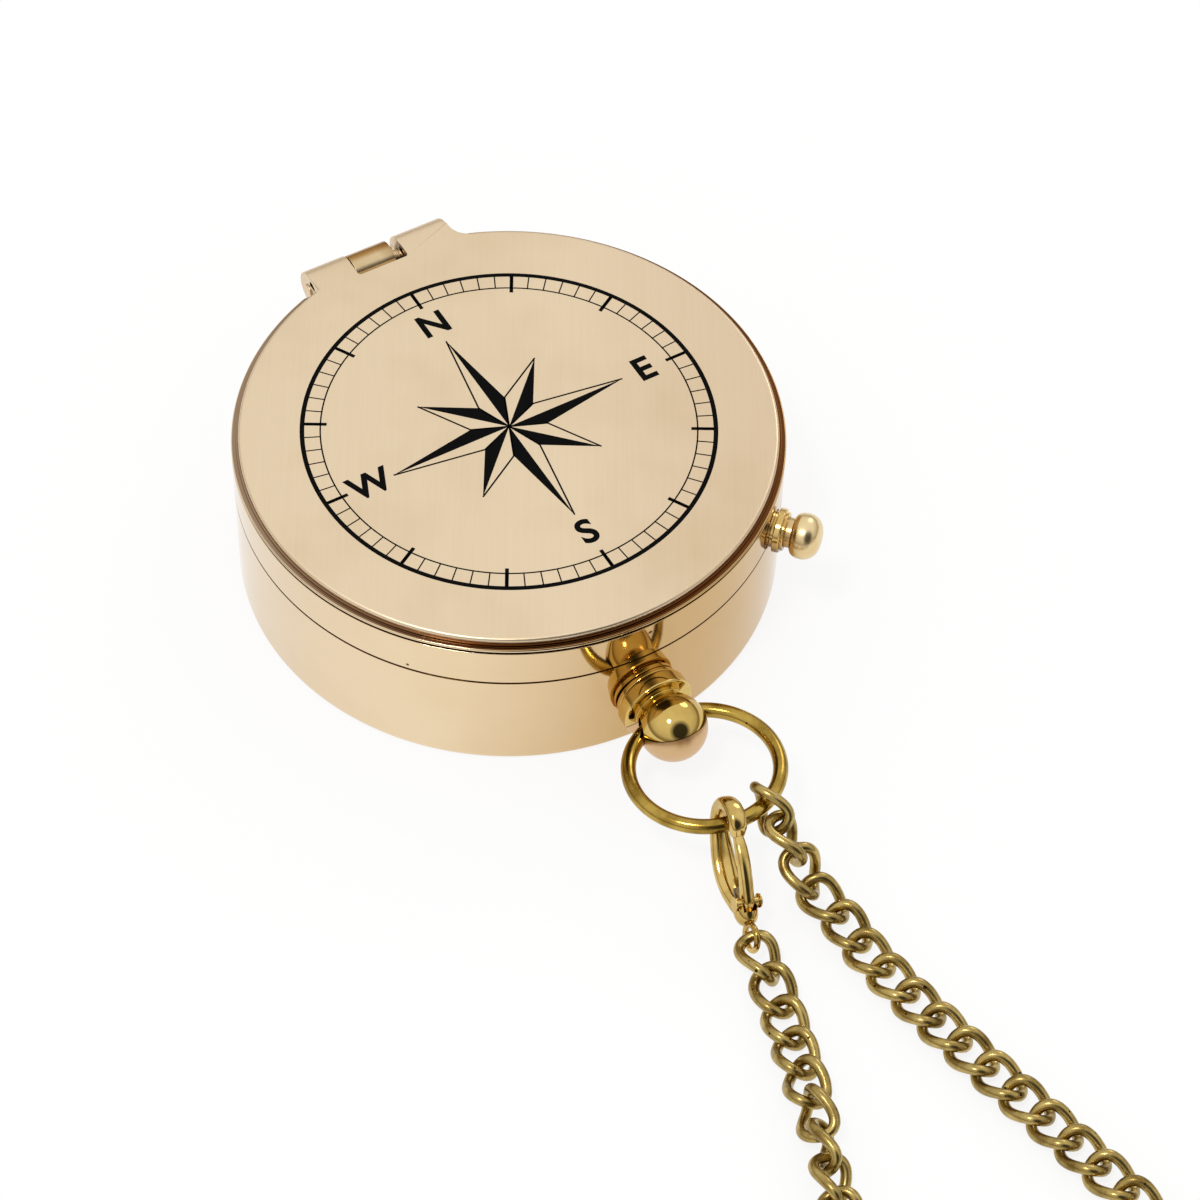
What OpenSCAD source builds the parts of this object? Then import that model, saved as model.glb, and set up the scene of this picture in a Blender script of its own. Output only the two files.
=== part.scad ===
// Pocket compass with a hinged lid, a push button, a bow ring and a curb chain on a snap clasp.
// The case stands on its flat underside. The hinge is at +Y, the bow post and the chain at -Y.
// Lengths are millimetres.

/* [Case] */
// Outer diameter of the case
case_d = 50; // [44:0.5:60]
// Height of the lower case up to the seam
body_h = 11; // [10.6:0.1:14]
// Height of the lid from the seam to its flat top
lid_h = 5.23; // [5:0.05:7]
// Open seam between the lower case and the lid
seam_gap = 0.12; // [0.08:0.01:0.25]
// Wall of the lower case and of the lid skirt
wall_t = 1.2; // [1:0.05:1.6]
// Thickness of the case floor
floor_t = 1.2; // [0.8:0.1:2]
// Thickness of the lid's top plate
lid_plate_t = 0.9; // [0.7:0.05:1.2]
// Drop from the case rim to the ledge that carries the dial
ledge_drop = 6.2; // [6.1:0.1:7]
// Width of the ledge inside the wall
ledge_w = 1; // [0.8:0.1:2]

/* [Hinge] */
// Diameter of the hinge barrel
barrel_d = 3.6; // [3:0.1:4]
// Length of the hinge barrel
barrel_l = 14.6; // [12:0.2:18]
// Diameter of the hinge pin
hinge_pin_d = 1.2; // [1:0.05:1.4]
// Length of the middle knuckle on the lower case
mid_knuckle_l = 4.1; // [3.6:0.1:5]
// Open gap beside the middle knuckle, where the spring shows
knuckle_gap_l = 0.9; // [0.6:0.05:1.3]
// Thickness of the hinge strap on the case wall
strap_t = 0.6; // [0.5:0.05:0.8]

/* [Dial and needle] */
// Thickness of the dial plate
dial_t = 0.5; // [0.4:0.05:0.8]
// Room between the dial and the crystal
dial_room = 2.5; // [2.4:0.1:3]
// Width of the sloped chapter ring
chapter_w = 2.4; // [1.5:0.1:4]
// Thickness of the crystal
crystal_t = 1; // [0.8:0.05:1.2]
// Thickness of the bezel ring over the crystal
bezel_t = 0.6; // [0.4:0.05:0.7]
// Width of the bezel ring
bezel_w = 1.6; // [1:0.1:2]
// Length of the needle from end to end
needle_l = 34; // [24:1:40]
// Width of the needle at its middle
needle_w = 3.4; // [2.8:0.1:5]
// Thickness of the needle
needle_t = 0.3; // [0.2:0.05:0.4]

/* [Push button] */
// Bearing of the button around the case, from +X
button_turn = -47; // [-60:1:-30]
// Diameter of the button's flange
flange_d = 4.1; // [3.8:0.1:5]
// Thickness of the flange
flange_t = 0.65; // [0.5:0.05:0.8]
// Diameter of the button's head
head_d = 4.2; // [3.2:0.1:5]
// Length of the button's head
head_l = 2.65; // [2:0.05:3]
// Diameter of the button's neck
neck_d = 2.77; // [2.4:0.01:2.8]
// Diameter of the button's stem
stem_d = 1.2; // [1:0.05:1.3]
// How far the button pushes in
button_travel = 0.5; // [0.3:0.05:0.55]

/* [Bow] */
// Height of the bow post's centre line
post_z = 5.7; // [5.2:0.1:6]
// Diameter of the bow post's flange on the wall
post_flange_d = 6.2; // [5.8:0.1:6.6]
// Diameter of the thick disc in front of the flange
post_disc_d = 6.8; // [6:0.1:7.4]
// Diameter of the ball
ball_d = 6.2; // [5.6:0.1:6.4]
// Distance from the wall to the ball's centre
ball_out = 4.5; // [4.4:0.1:5]
// Diameter of the hole through the ball
ball_bore_d = 2.4; // [2.3:0.05:2.8]
// Wire diameter of the bow ring
bow_wire_d = 1.36; // [1.1:0.02:1.4]
// Diameter of the bow ring's centre line
bow_d = 13.3; // [12.9:0.1:13.6]

/* [Clasp] */
// Distance from the middle of the hook to the middle of the eye
clasp_l = 10; // [9.6:0.1:10.4]
// Diameter of the round bar of the hook
clasp_bar_d = 1.24; // [1:0.02:1.3]
// Clear diameter inside the hook
hook_bore_d = 2.36; // [2.3:0.02:2.6]
// Thickness of the clasp's body
clasp_t = 2.2; // [2:0.05:2.6]
// Clear diameter of the clasp's eye
eye_bore_d = 1.7; // [1.6:0.05:1.8]
// Wire diameter of the clasp's eye
eye_wire_d = 0.56; // [0.5:0.02:0.6]
// Thickness of the lever
lever_t = 1.1; // [0.9:0.05:1.2]

/* [Chain] */
// Wire diameter of the chain
chain_wire_d = 1; // [0.8:0.02:1.02]
// Distance from one link to the next
link_pitch = 3.2; // [3.16:0.01:3.22]
// Play between two links that hold each other
link_play = 0.2; // [0.2:0.01:0.24]
// How far the chain reaches out over the table
loop_l = 74; // [60:1:80]
// Width of the chain's loop, as the factor of its curve
loop_w = 20; // [16:0.5:22]
// How far the loop's far end lies to the right
loop_lean = 3.3; // [0:0.1:5]

/* [Hidden] */
$fn = 96;

// Colours of the metals and of the dark and clear parts
gold = "#d9bf8a";
rich_gold = "#c79a3c";
olive_brass = "#96793a";
steel = "#9aa0a4";
dark_steel = "#3f4247";
ivory = "#efe8d6";

// General fits
overrun = 0.5;
run_fit = 0.04;
slide_fit = 0.05;
part_gap = 0.1;
swing_gap = 0.15;

// Case levels and radii
case_r = case_d / 2;
inner_r = case_r - wall_t;
ledge_r = inner_r - ledge_w;
ledge_z = body_h - ledge_drop;
seam_z = body_h + seam_gap;
top_z = seam_z + lid_h;
foot_edge_r = 0.5;
drop_in_r = inner_r - slide_fit;
dial_z = ledge_z;
chapter_z = dial_z + dial_t;
crystal_z = chapter_z + dial_room;
bezel_z = crystal_z + crystal_t;
bezel_top_z = bezel_z + bezel_t;

// Lid rim, from the wall upwards: a groove, a bead, a second groove and the plate's round edge
rim_inset = 0.64;
plate_r = case_r - rim_inset;
plate_z = top_z - lid_plate_t;
plate_edge_r = 0.3;
groove_d = 0.3;
groove_h = 0.22;
bead_h = 0.3;
collar_t = 0.2;
collar_h = 0.45;
seat_w = 0.9;
seat_t = 0.45;

// Hinge
barrel_r = barrel_d / 2;
hinge_y = case_r;
hinge_z = top_z - barrel_r;
mid_knuckle_x = -2.9;
knuckle_drop = 0.08;
leaf_fillet_r = 2;
strap_drop = 4;
strap_foot_z = body_h - strap_drop;
strap_half_turn = 4.6;
hinge_bore_r = hinge_pin_d / 2 + run_fit;
spring_seat_r = 1.3;
spring_seat_share = 0.7;
spring_seat_x = mid_knuckle_x + mid_knuckle_l * (1 - spring_seat_share);
pin_overhang = 0.2;
notch_x0 = mid_knuckle_x - part_gap;
notch_x1 = mid_knuckle_x + mid_knuckle_l + knuckle_gap_l;

// Springs: round wire in a helix whose turns stay apart
spring_wire_d = 0.3;
spring_pitch = 0.75;
hinge_coil_r = 0.97;
button_coil_r = 1.02;

// Needle and its pivot
pivot_base_r = 1.3;
pivot_base_h = 0.4;
pivot_shank_r = 0.6;
pivot_rod_r = 0.35;
pivot_tip_r = 0.06;
needle_lift = 1.4;
hub_r = 1.5;
hub_h = 0.75;
hub_rim_h = 0.2;
hub_bore_r = 0.75;
jewel_r = 0.6;
jewel_h = 0.32;
jewel_cup_r = 0.22;
needle_z = chapter_z + needle_lift;
hub_z = needle_z - hub_rim_h;
pivot_top_z = hub_z + hub_h - jewel_h;

// Push button, measured outward from the case axis along the button's own axis
button_z = seam_z + seam_gap / 2;
stand_off = 0.26;
boss_d = 3.6;
boss_l = 0.3;
shank_d = 3.4;
pocket_floor_t = 0.6;
bush_in_l = 0.8;
bush_seat_r = inner_r - bush_in_l;
flange_x = case_r + stand_off;
boss_x = flange_x + flange_t;
boss_end_x = boss_x + boss_l;
boss_groove = 0.1;
pocket_x = bush_seat_r + pocket_floor_t;
neck_in_l = 0.5;
neck_x = boss_end_x - neck_in_l;
head_x = boss_end_x + button_travel + slide_fit;
head_cone_share = 0.28;
head_dome_share = 0.42;
dome_x = head_x + head_l * (1 - head_dome_share);
latch_inset = 3.9;
latch_x = inner_r - latch_inset;
latch_t = 0.6;
latch_w = 3;
latch_h = 1.9;
latch_lip = 0.5;
latch_foot = 0.7;
block_l = 2;
block_w = 5;
block_over_h = 0.3;
block_out_r = inner_r - part_gap;
block_in_x = block_out_r - block_l;
block_top_z = button_z + shank_d / 2 + block_over_h;
hook_t = 0.5;
hook_w = 2.4;
hook_lip = 0.4;
hook_x = latch_x + latch_lip + part_gap;
hook_z = button_z + latch_h - part_gap;

// Bow post
post_shank_d = 2.8;
post_shank_l = wall_t;
post_flange_t = 0.45;
post_groove_t = 0.2;
post_groove_d = 5.6;
post_disc_t = 1.45;
post_disc_edge_r = 0.2;
post_disc_a = post_flange_t + post_groove_t;
post_disc_b = post_disc_a + post_disc_t;
post_neck_d = 4.6;
ball_y = -case_r - ball_out;
bore_set_back = 0.9;
bow_axis_y = ball_y + bore_set_back;

// Bow ring: it passes through the ball and tilts up a little outward
bow_r = bow_d / 2;
bow_tilt = 4.8;
bow_in_y = 0.384;
bow_in_z = -0.203;
bow_centre = [0, bow_axis_y + bow_in_y - bow_r * cos(bow_tilt), post_z + bow_in_z + bow_r * sin(bow_tilt)];
function bow_point(x) = let (out = sqrt(bow_r * bow_r - x * x))
    [x, bow_centre[1] - out * cos(bow_tilt), bow_centre[2] + out * sin(bow_tilt)];

// Clasp: it hangs on the ring, dips towards the table and leans a little on its edge
clasp_turn = 17;
clasp_dip = 27.3;
clasp_lean = 15;
clasp_hang_x = -1.52;
clasp_at = bow_point(clasp_hang_x);
clasp_r = hook_bore_d / 2 + clasp_bar_d / 2;
clasp_belly_x = 3.8;
clasp_belly_r = 2.7;
clasp_drop = 0.2;
clasp_heel_x = 7.6;
clasp_heel_r = 1.25;
clasp_heel_t = 1.98;
clasp_cheek_x = 5.6;
clasp_gap_r = 1.15;
clasp_gap_x = 4.3;
clasp_gap_drop = 0.35;
hook_from = 60;
hook_sweep = 222;
bar_step = 0.07;
lever_slot_gap = 0.08;
lever_slot_floor = -0.6;
rivet_x = 7;
rivet_y = 0.45;
rivet_d = 0.8;
rivet_head_d = 1.3;
rivet_head_t = 0.15;
lever_tip = [1.5, 1.37];
lever_tip_r = 0.45;
lever_root_r = 0.72;
leaf_t = 0.15;
leaf_l = 2.2;

function unit(v) = v / norm(v);
function heading(turn, dip) = [sin(turn) * cos(dip), -cos(turn) * cos(dip), -sin(dip)];
function middle(a, b) = (a + b) / 2;

// Chain: each link is one wire loop, twisted so that the links lie flat.
// Its centre line holds its neighbours' wire at each end, and two wires pass beside each other in it.
link_l = link_pitch + chain_wire_d + link_play;
link_w = 3 * chain_wire_d + link_play;
link_rise = chain_wire_d * 2 / 3;
link_rings = 14;
wire_sides = 6;
route_steps = 720;
near_count = 3;
strand_count = 10;
end_links = 4;
// Turn, dip and roll of the first links, from the bow ring down to the table
end_turns = [1.3, 4, 6.4, 15.9];
end_dips = [13, 28.7, 44.3, 14.3];
end_rolls = [-103, -52.4, -17, -4.8];
// Roll of the last links before the clasp, where the chain lies over once
tail_rolls = [205, 180, 180, 180, 165, 130, 85, 45, 15];
end_grip_share = 0.336;
eye_grip_share = 0.172;
end_link_x = 2.478;
table_gap = 0.02;

function link_point(t) =
    [link_l / 2 * cos(t), link_w / 2 * sin(t), -link_rise * sin(2 * t)];
function link_way(t) =
    unit([-link_l / 2 * sin(t), link_w / 2 * cos(t), -2 * link_rise * cos(2 * t)]);
function link_ring(t) = let (way = link_way(t), side = unit(cross(way, [cos(t), sin(t), 0])),
        out = cross(side, way))
    [for (i = [0 : wire_sides - 1]) let (a = 360 * i / wire_sides)
        link_point(t) + chain_wire_d / 2 * (cos(a) * out + sin(a) * side)];
link_points = [for (k = [0 : link_rings - 1]) each link_ring(360 * k / link_rings)];
link_faces = [for (k = [0 : link_rings - 1], i = [0 : wire_sides - 1])
    let (a = k * wire_sides, b = ((k + 1) % link_rings) * wire_sides, j = (i + 1) % wire_sides)
    each [[a + i, a + j, b + j], [a + i, b + j, b + i]]];

// A link between two points of the route, rolled about the line that joins them
function placed(p, from, to, roll) = let (x = unit(to - from), side = unit(cross([0, 0, 1], x)),
        up = cross(x, side), y = cos(roll) * side + sin(roll) * up, z = cos(roll) * up - sin(roll) * side)
    middle(from, to) + p[0] * x + p[1] * y + p[2] * z;
module chain_link(from, to, roll)
    polyhedron([for (p = link_points) placed(p, from, to, roll)], link_faces);

// How high the middle of a rolled link lies above the table
function lie(roll) = table_gap + chain_wire_d / 2 + max([for (t = [0 : 5 : 355])
    link_w / 2 * sin(t) * sin(roll) - link_rise * sin(2 * t) * cos(roll)]);

end_start = bow_point(end_link_x) - end_grip_share * link_pitch * heading(end_turns[0], end_dips[0]);
function end_point(k) = k == 0 ? end_start :
    end_point(k - 1) + link_pitch * heading(end_turns[k - 1], end_dips[k - 1]);
eye_at = clasp_at + clasp_l * heading(-clasp_turn, clasp_dip);
loop_from = end_point(end_links);
loop_to = eye_at + eye_grip_share * link_pitch * heading(-clasp_turn, 0);

// The loop on the table is a pear-shaped closed curve, opened between the ring and the clasp
loop_mid = middle(loop_from, loop_to);
loop_across = unit([loop_from[0] - loop_to[0], loop_from[1] - loop_to[1]]);
loop_half = norm([loop_from[0] - loop_to[0], loop_from[1] - loop_to[1]]) / 2;
function loop_point(t) = let (away = (1 - cos(t)) / 2, y = -loop_l * away,
        x = loop_half * cos(t / 2) + loop_w * sin(t) * pow(sin(t / 2), 2) + loop_lean * away)
    [loop_mid[0] + x * loop_across[0] - y * loop_across[1],
     loop_mid[1] + x * loop_across[1] + y * loop_across[0]];
route = [for (k = [0 : route_steps]) loop_point(360 * k / route_steps)];
route_gone = [for (k = 0, s = 0; k <= route_steps;
    s = s + (k < route_steps ? norm(route[k + 1] - route[k]) : 0), k = k + 1) s];
// As many links as the route holds, shared out alike on both sides
half_links = round(route_gone[route_steps] / link_pitch / 2);
loop_links = 2 * half_links;
far_count = half_links - near_count - strand_count;
function on_route(s) = [lookup(s, [for (k = [0 : route_steps]) [route_gone[k], route[k][0]]]),
    lookup(s, [for (k = [0 : route_steps]) [route_gone[k], route[k][1]]])];
function loop_roll(k) = let (from_end = loop_links - 1 - k)
    from_end < len(tail_rolls) ? tail_rolls[from_end] : 0;
function joint_z(k) = k == 0 ? loop_from[2] : k == loop_links ? loop_to[2] :
    max(lie(loop_roll(k - 1)), lie(loop_roll(k)));
loop_joints = [for (k = [0 : loop_links]) let (p = on_route(route_gone[route_steps] * k / loop_links))
    [p[0], p[1], joint_z(k)]];

module loop_chain(first, count) color(olive_brass) for (k = [first : first + count - 1])
    chain_link(loop_joints[k], loop_joints[k + 1], loop_roll(k));

// Round arc in an outline, from one angle to another
function arc(centre, r, from, to, steps) = [for (i = [0 : steps])
    let (a = from + (to - from) * i / steps) centre + r * [cos(a), sin(a)]];

// Helix of round wire about the Z axis, with flat ends
function coil_point(r, pitch, a) = [r * cos(a), r * sin(a), pitch * a / 360];
function coil_ring(r, pitch, a) = let (way = unit([-sin(a), cos(a), pitch / (2 * PI * r)]),
        out = [cos(a), sin(a), 0], up = cross(out, way))
    [for (i = [0 : wire_sides - 1]) let (b = 360 * i / wire_sides)
        coil_point(r, pitch, a) + spring_wire_d / 2 * (cos(b) * out + sin(b) * up)];
coil_steps = 14;
// Least gap between a coil's turns, measured on points at least half a turn apart
function coil_gap(r, l) = let (turns = (l - spring_wire_d) / spring_pitch,
        points = [for (a = [0 : 10 : 360 * turns]) coil_point(r, spring_pitch, a)])
    min([for (i = [0 : len(points) - 1], j = [i + 18 : 1 : len(points) - 1]) norm(points[j] - points[i])])
        - spring_wire_d;
module coil(r, l) {
    turns = (l - spring_wire_d) / spring_pitch;
    rings = ceil(turns * coil_steps);
    points = [for (k = [0 : rings]) each coil_ring(r, spring_pitch, 360 * turns * k / rings)];
    tube = [for (k = [0 : rings - 1], i = [0 : wire_sides - 1])
        let (a = k * wire_sides, b = a + wire_sides, j = (i + 1) % wire_sides)
        each [[a + i, b + j, a + j], [a + i, b + i, b + j]]];
    start_cap = [for (i = [1 : wire_sides - 2]) [0, i, i + 1]];
    last = rings * wire_sides;
    end_cap = [for (i = [1 : wire_sides - 2]) [last, last + i + 1, last + i]];
    translate([0, 0, spring_wire_d / 2]) polyhedron(points, concat(tube, start_cap, end_cap));
}

// Rounds that lie along the hinge, the button and the bow post
module along_x(x) translate([x, 0, 0]) rotate([0, 90, 0]) children();
module at_hinge(x) translate([0, hinge_y, hinge_z]) along_x(x) children();
module at_button() translate([0, 0, button_z]) rotate([0, 0, button_turn]) rotate([0, 90, 0]) children();
module at_post() translate([0, -case_r, post_z]) rotate([90, 0, 0]) children();
module at_clasp() translate(clasp_at) rotate([0, 0, -90 - clasp_turn]) rotate([0, clasp_dip, 0])
    rotate([90 - clasp_lean, 0, 0]) children();

// Lower case: a turned cup with a ledge, a round foot edge and cuts for the bow post and the bush
module case_body() color(gold) difference() {
    rotate_extrude() polygon(concat([[0, 0]],
        arc([case_r - foot_edge_r, foot_edge_r], foot_edge_r, -90, 0, 8),
        [[case_r, body_h], [inner_r, body_h], [inner_r, ledge_z], [ledge_r, ledge_z], [ledge_r, floor_t],
         [0, floor_t]]));
    at_post() translate([0, 0, -post_shank_l]) cylinder(h = post_shank_l + overrun, d = post_shank_d);
    at_button() translate([0, 0, bush_seat_r]) cylinder(h = case_r, d = shank_d);
}

// Strap on the case wall that carries the hinge's middle knuckle
module hinge_strap() color(gold) difference() {
    union() {
        rotate([0, 0, 90 - strap_half_turn]) rotate_extrude(angle = 2 * strap_half_turn) polygon([
            [case_r, strap_foot_z], [case_r + strap_t, strap_foot_z], [case_r + strap_t, hinge_z],
            [case_r + swing_gap, hinge_z], [case_r + swing_gap, body_h], [case_r, body_h]]);
        at_hinge(mid_knuckle_x) cylinder(h = mid_knuckle_l, r = barrel_r - knuckle_drop);
    }
    translate([mid_knuckle_x - case_r, 0, strap_foot_z - overrun]) cube([case_r, case_d, top_z]);
    translate([mid_knuckle_x + mid_knuckle_l, 0, strap_foot_z - overrun]) cube([case_r, case_d, top_z]);
    at_hinge(mid_knuckle_x - overrun) cylinder(h = mid_knuckle_l + 2 * overrun, r = hinge_bore_r);
    at_hinge(spring_seat_x) cylinder(h = mid_knuckle_l, r = spring_seat_r);
}

module dial_plate() color(ivory) translate([0, 0, dial_z]) difference() {
    cylinder(h = dial_t, r = drop_in_r);
    translate([0, 0, -overrun]) cylinder(h = dial_t + 2 * overrun, r = pivot_shank_r);
}

module chapter_ring() color(gold) rotate_extrude() polygon([
    [drop_in_r, chapter_z], [drop_in_r, crystal_z], [drop_in_r - chapter_w / 2, crystal_z],
    [drop_in_r - chapter_w, chapter_z]]);

// Pivot: a turned foot in the dial and a thin rod with a fine point under the needle's jewel
module pivot_pin() color(steel) rotate_extrude() polygon([
    [0, dial_z], [pivot_shank_r, dial_z], [pivot_shank_r, chapter_z], [pivot_base_r, chapter_z],
    [pivot_base_r, chapter_z + pivot_base_h / 2], [pivot_rod_r, chapter_z + pivot_base_h],
    [pivot_rod_r, pivot_top_z - jewel_cup_r - pivot_rod_r], [pivot_tip_r, pivot_top_z - slide_fit],
    [0, pivot_top_z - slide_fit]]);

module crystal() color("#dfeaea", 0.35) translate([0, 0, crystal_z]) cylinder(h = crystal_t, r = drop_in_r);

module bezel_ring() color(gold) rotate_extrude() polygon([
    [drop_in_r, bezel_z], [drop_in_r, bezel_top_z], [drop_in_r - bezel_w / 2, bezel_top_z],
    [drop_in_r - bezel_w, bezel_z + bezel_t / 3], [drop_in_r - bezel_w, bezel_z]]);

// Bush: a flange and a grooved boss outside, a shank through the wall and a pocket for the spring
module button_bush() color(rich_gold) at_button() difference() {
    rotate_extrude() polygon([
        [0, bush_seat_r], [shank_d / 2, bush_seat_r], [shank_d / 2, flange_x], [flange_d / 2, flange_x],
        [flange_d / 2, boss_x - boss_groove], [flange_d / 2 - boss_groove, boss_x],
        [boss_d / 2 - boss_groove, boss_x], [boss_d / 2 - boss_groove, boss_x + boss_groove],
        [boss_d / 2, boss_x + boss_groove],
        [boss_d / 2, boss_end_x - boss_groove], [boss_d / 2 - boss_groove, boss_end_x], [0, boss_end_x]]);
    translate([0, 0, pocket_x]) cylinder(h = boss_end_x, d = neck_d + 2 * slide_fit);
    translate([0, 0, bush_seat_r - overrun]) cylinder(h = case_r, d = stem_d + 2 * run_fit);
}

// Block on the bezel ring that holds the bush and guides the stem
module latch_block() color(rich_gold) difference() {
    intersection() {
        rotate([0, 0, button_turn]) translate([block_in_x, -block_w / 2, bezel_top_z])
            cube([wall_t + case_r, block_w, block_top_z - bezel_top_z]);
        cylinder(h = top_z, r = block_out_r);
    }
    at_button() translate([0, 0, bush_seat_r]) cylinder(h = case_r, d = shank_d);
    at_button() cylinder(h = case_r, d = stem_d + 2 * run_fit);
}

// The spring keeps clear of the neck by the button's travel, as when the button is pressed
button_spring_l = neck_x - button_travel - slide_fit - pocket_x;
module button_spring() color(steel) at_button()
    translate([0, 0, pocket_x]) coil(button_coil_r, button_spring_l);

// Bow post: a shank in the wall, a flange, a groove, a thick disc with round edges, a waist and the ball
module bow_post() color(rich_gold) difference() {
    at_post() rotate_extrude() polygon(concat(
        [[0, -post_shank_l], [post_shank_d / 2, -post_shank_l], [post_shank_d / 2, 0]],
        [[post_flange_d / 2, 0], [post_flange_d / 2, post_flange_t], [post_groove_d / 2, post_flange_t],
         [post_groove_d / 2, post_disc_a]],
        arc([post_disc_d / 2 - post_disc_edge_r, post_disc_a + post_disc_edge_r], post_disc_edge_r, -90, 0, 4),
        arc([post_disc_d / 2 - post_disc_edge_r, post_disc_b - post_disc_edge_r], post_disc_edge_r, 0, 90, 4),
        [[post_neck_d / 2, post_disc_b]],
        arc([0, ball_out], ball_d / 2, -asin(sqrt(1 - pow(post_neck_d / ball_d, 2))), 90, 24)));
    translate([0, bow_axis_y, post_z]) along_x(-ball_d) cylinder(h = 2 * ball_d, d = ball_bore_d);
}

// Outline of the lid's plate: a disc with the hinge leaf, square on one side and filleted on the other
leaf_half = barrel_l / 2;
fillet_y = sqrt(pow(plate_r + leaf_fillet_r, 2) - pow(leaf_half + leaf_fillet_r, 2));
fillet_end_x = (leaf_half + leaf_fillet_r) * plate_r / (plate_r + leaf_fillet_r);
module leaf_outline() {
    translate([-leaf_half, 0]) square([barrel_l, hinge_y]);
    difference() {
        square([fillet_end_x, fillet_y]);
        translate([leaf_half + leaf_fillet_r, fillet_y]) circle(leaf_fillet_r);
    }
}
module hinge_notch(gap) translate([notch_x0, hinge_y - barrel_r - gap, hinge_z - barrel_r - gap])
    cube([notch_x1 - notch_x0, barrel_d + 2 * gap, barrel_d + 2 * gap]);

// Lid's top plate with a round edge, the hinge leaf and its two knuckles
module lid_plate() color(gold) difference() {
    union() {
        rotate_extrude() polygon(concat([[0, plate_z], [plate_r, plate_z]],
            arc([plate_r - plate_edge_r, top_z - plate_edge_r], plate_edge_r, 0, 90, 8), [[0, top_z]]));
        translate([0, 0, plate_z]) linear_extrude(lid_plate_t) leaf_outline();
        at_hinge(-leaf_half) cylinder(h = barrel_l, r = barrel_r);
    }
    hinge_notch(swing_gap);
    at_hinge(-barrel_l) cylinder(h = 2 * barrel_l, r = hinge_bore_r);
}

// Lid's skirt with its bead, cut for the hinge and for the bush
bead_z = plate_z - groove_h / 2;
module lid_ring() color(gold) difference() {
    rotate_extrude() polygon([
        [inner_r, seam_z], [case_r, seam_z],
        [case_r, bead_z - groove_h], [case_r - groove_d, bead_z - groove_h],
        [case_r - groove_d, bead_z], [case_r - groove_d / 4, bead_z], [case_r, bead_z + bead_h / 3],
        [case_r, bead_z + bead_h * 2 / 3], [case_r - groove_d / 4, bead_z + bead_h],
        [plate_r + collar_t, bead_z + bead_h], [plate_r + collar_t, plate_z + collar_h],
        [plate_r, plate_z + collar_h], [plate_r, plate_z], [inner_r - seat_w, plate_z],
        [inner_r - seat_w, plate_z - seat_t], [inner_r, plate_z - seat_t - wall_t / 2]]);
    at_hinge(-leaf_half - leaf_fillet_r) cylinder(h = barrel_l + 2 * leaf_fillet_r, r = barrel_r + swing_gap);
    translate([-leaf_half - part_gap, 0, plate_z])
        cube([leaf_half + fillet_end_x + 2 * part_gap, case_d, lid_plate_t + overrun]);
    at_button() translate([0, 0, bush_seat_r]) cylinder(h = case_r, d = shank_d + 2 * swing_gap);
    rotate([0, 0, button_turn]) translate([bush_seat_r, -shank_d / 2 - swing_gap, 0])
        cube([case_r, shank_d + 2 * swing_gap, button_z]);
}

// Hook inside the lid that the latch holds
module lid_hook() color(rich_gold) rotate([0, 0, button_turn])
    translate([hook_x, -hook_w / 2, hook_z - hook_t]) {
        cube([hook_lip + hook_t, hook_w, hook_t]);
        translate([hook_lip, 0, 0]) cube([hook_t, hook_w, plate_z - hook_z + hook_t]);
    }

module hinge_pin() color(steel) at_hinge(-leaf_half - pin_overhang)
    cylinder(h = barrel_l + 2 * pin_overhang, d = hinge_pin_d);

hinge_spring_x = spring_seat_x + part_gap;
hinge_spring_l = notch_x1 - hinge_spring_x - part_gap;
module hinge_spring() color(steel) at_hinge(hinge_spring_x) coil(hinge_coil_r, hinge_spring_l);

// Needle: a flat lozenge on a turned brass hub with a jewel cup
module needle_blade() color(dark_steel) translate([0, 0, needle_z]) difference() {
    linear_extrude(needle_t)
        polygon([[0, -needle_l / 2], [needle_w / 2, 0], [0, needle_l / 2], [-needle_w / 2, 0]]);
    translate([0, 0, -overrun]) cylinder(h = needle_t + 2 * overrun, r = hub_r - hub_rim_h);
}

module needle_hub() color(rich_gold) rotate_extrude() polygon([
    [hub_bore_r, hub_z], [hub_r, hub_z], [hub_r, needle_z], [hub_r - hub_rim_h, needle_z],
    [hub_r - hub_rim_h, needle_z + needle_t], [hub_bore_r, hub_z + hub_h], [jewel_r, hub_z + hub_h],
    [jewel_r, pivot_top_z], [hub_bore_r, pivot_top_z]]);

module needle_jewel() color("#8c2f3c") translate([0, 0, pivot_top_z - jewel_cup_r]) difference() {
    cylinder(h = jewel_h + jewel_cup_r, r = jewel_r);
    translate([0, 0, -overrun]) cylinder(h = jewel_cup_r + overrun, r1 = jewel_r, r2 = 2 * pivot_tip_r);
}

// Button: an acorn head, a neck that slides in the bush and a thin stem
module button_knob() color(rich_gold) at_button() rotate_extrude() polygon(concat(
    [[0, latch_x], [stem_d / 2, latch_x], [stem_d / 2, neck_x], [neck_d / 2, neck_x], [neck_d / 2, head_x],
     [head_d / 2, head_x + head_l * head_cone_share], [head_d / 2, dome_x]],
    [for (a = [15 : 15 : 90]) [head_d / 2 * cos(a), dome_x + head_l * head_dome_share * sin(a)]]));

module latch_plate() color(steel) rotate([0, 0, button_turn])
    translate([latch_x - latch_t, -latch_w / 2, button_z - latch_foot]) {
        cube([latch_t, latch_w, latch_foot + latch_h + latch_t]);
        translate([0, 0, latch_foot + latch_h]) cube([latch_t + latch_lip, latch_w, latch_t]);
    }

module bow_ring() color(olive_brass) translate(bow_centre) rotate([-bow_tilt, 0, 0])
    rotate_extrude() translate([bow_r, 0]) circle(d = bow_wire_d, $fn = 32);

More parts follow.
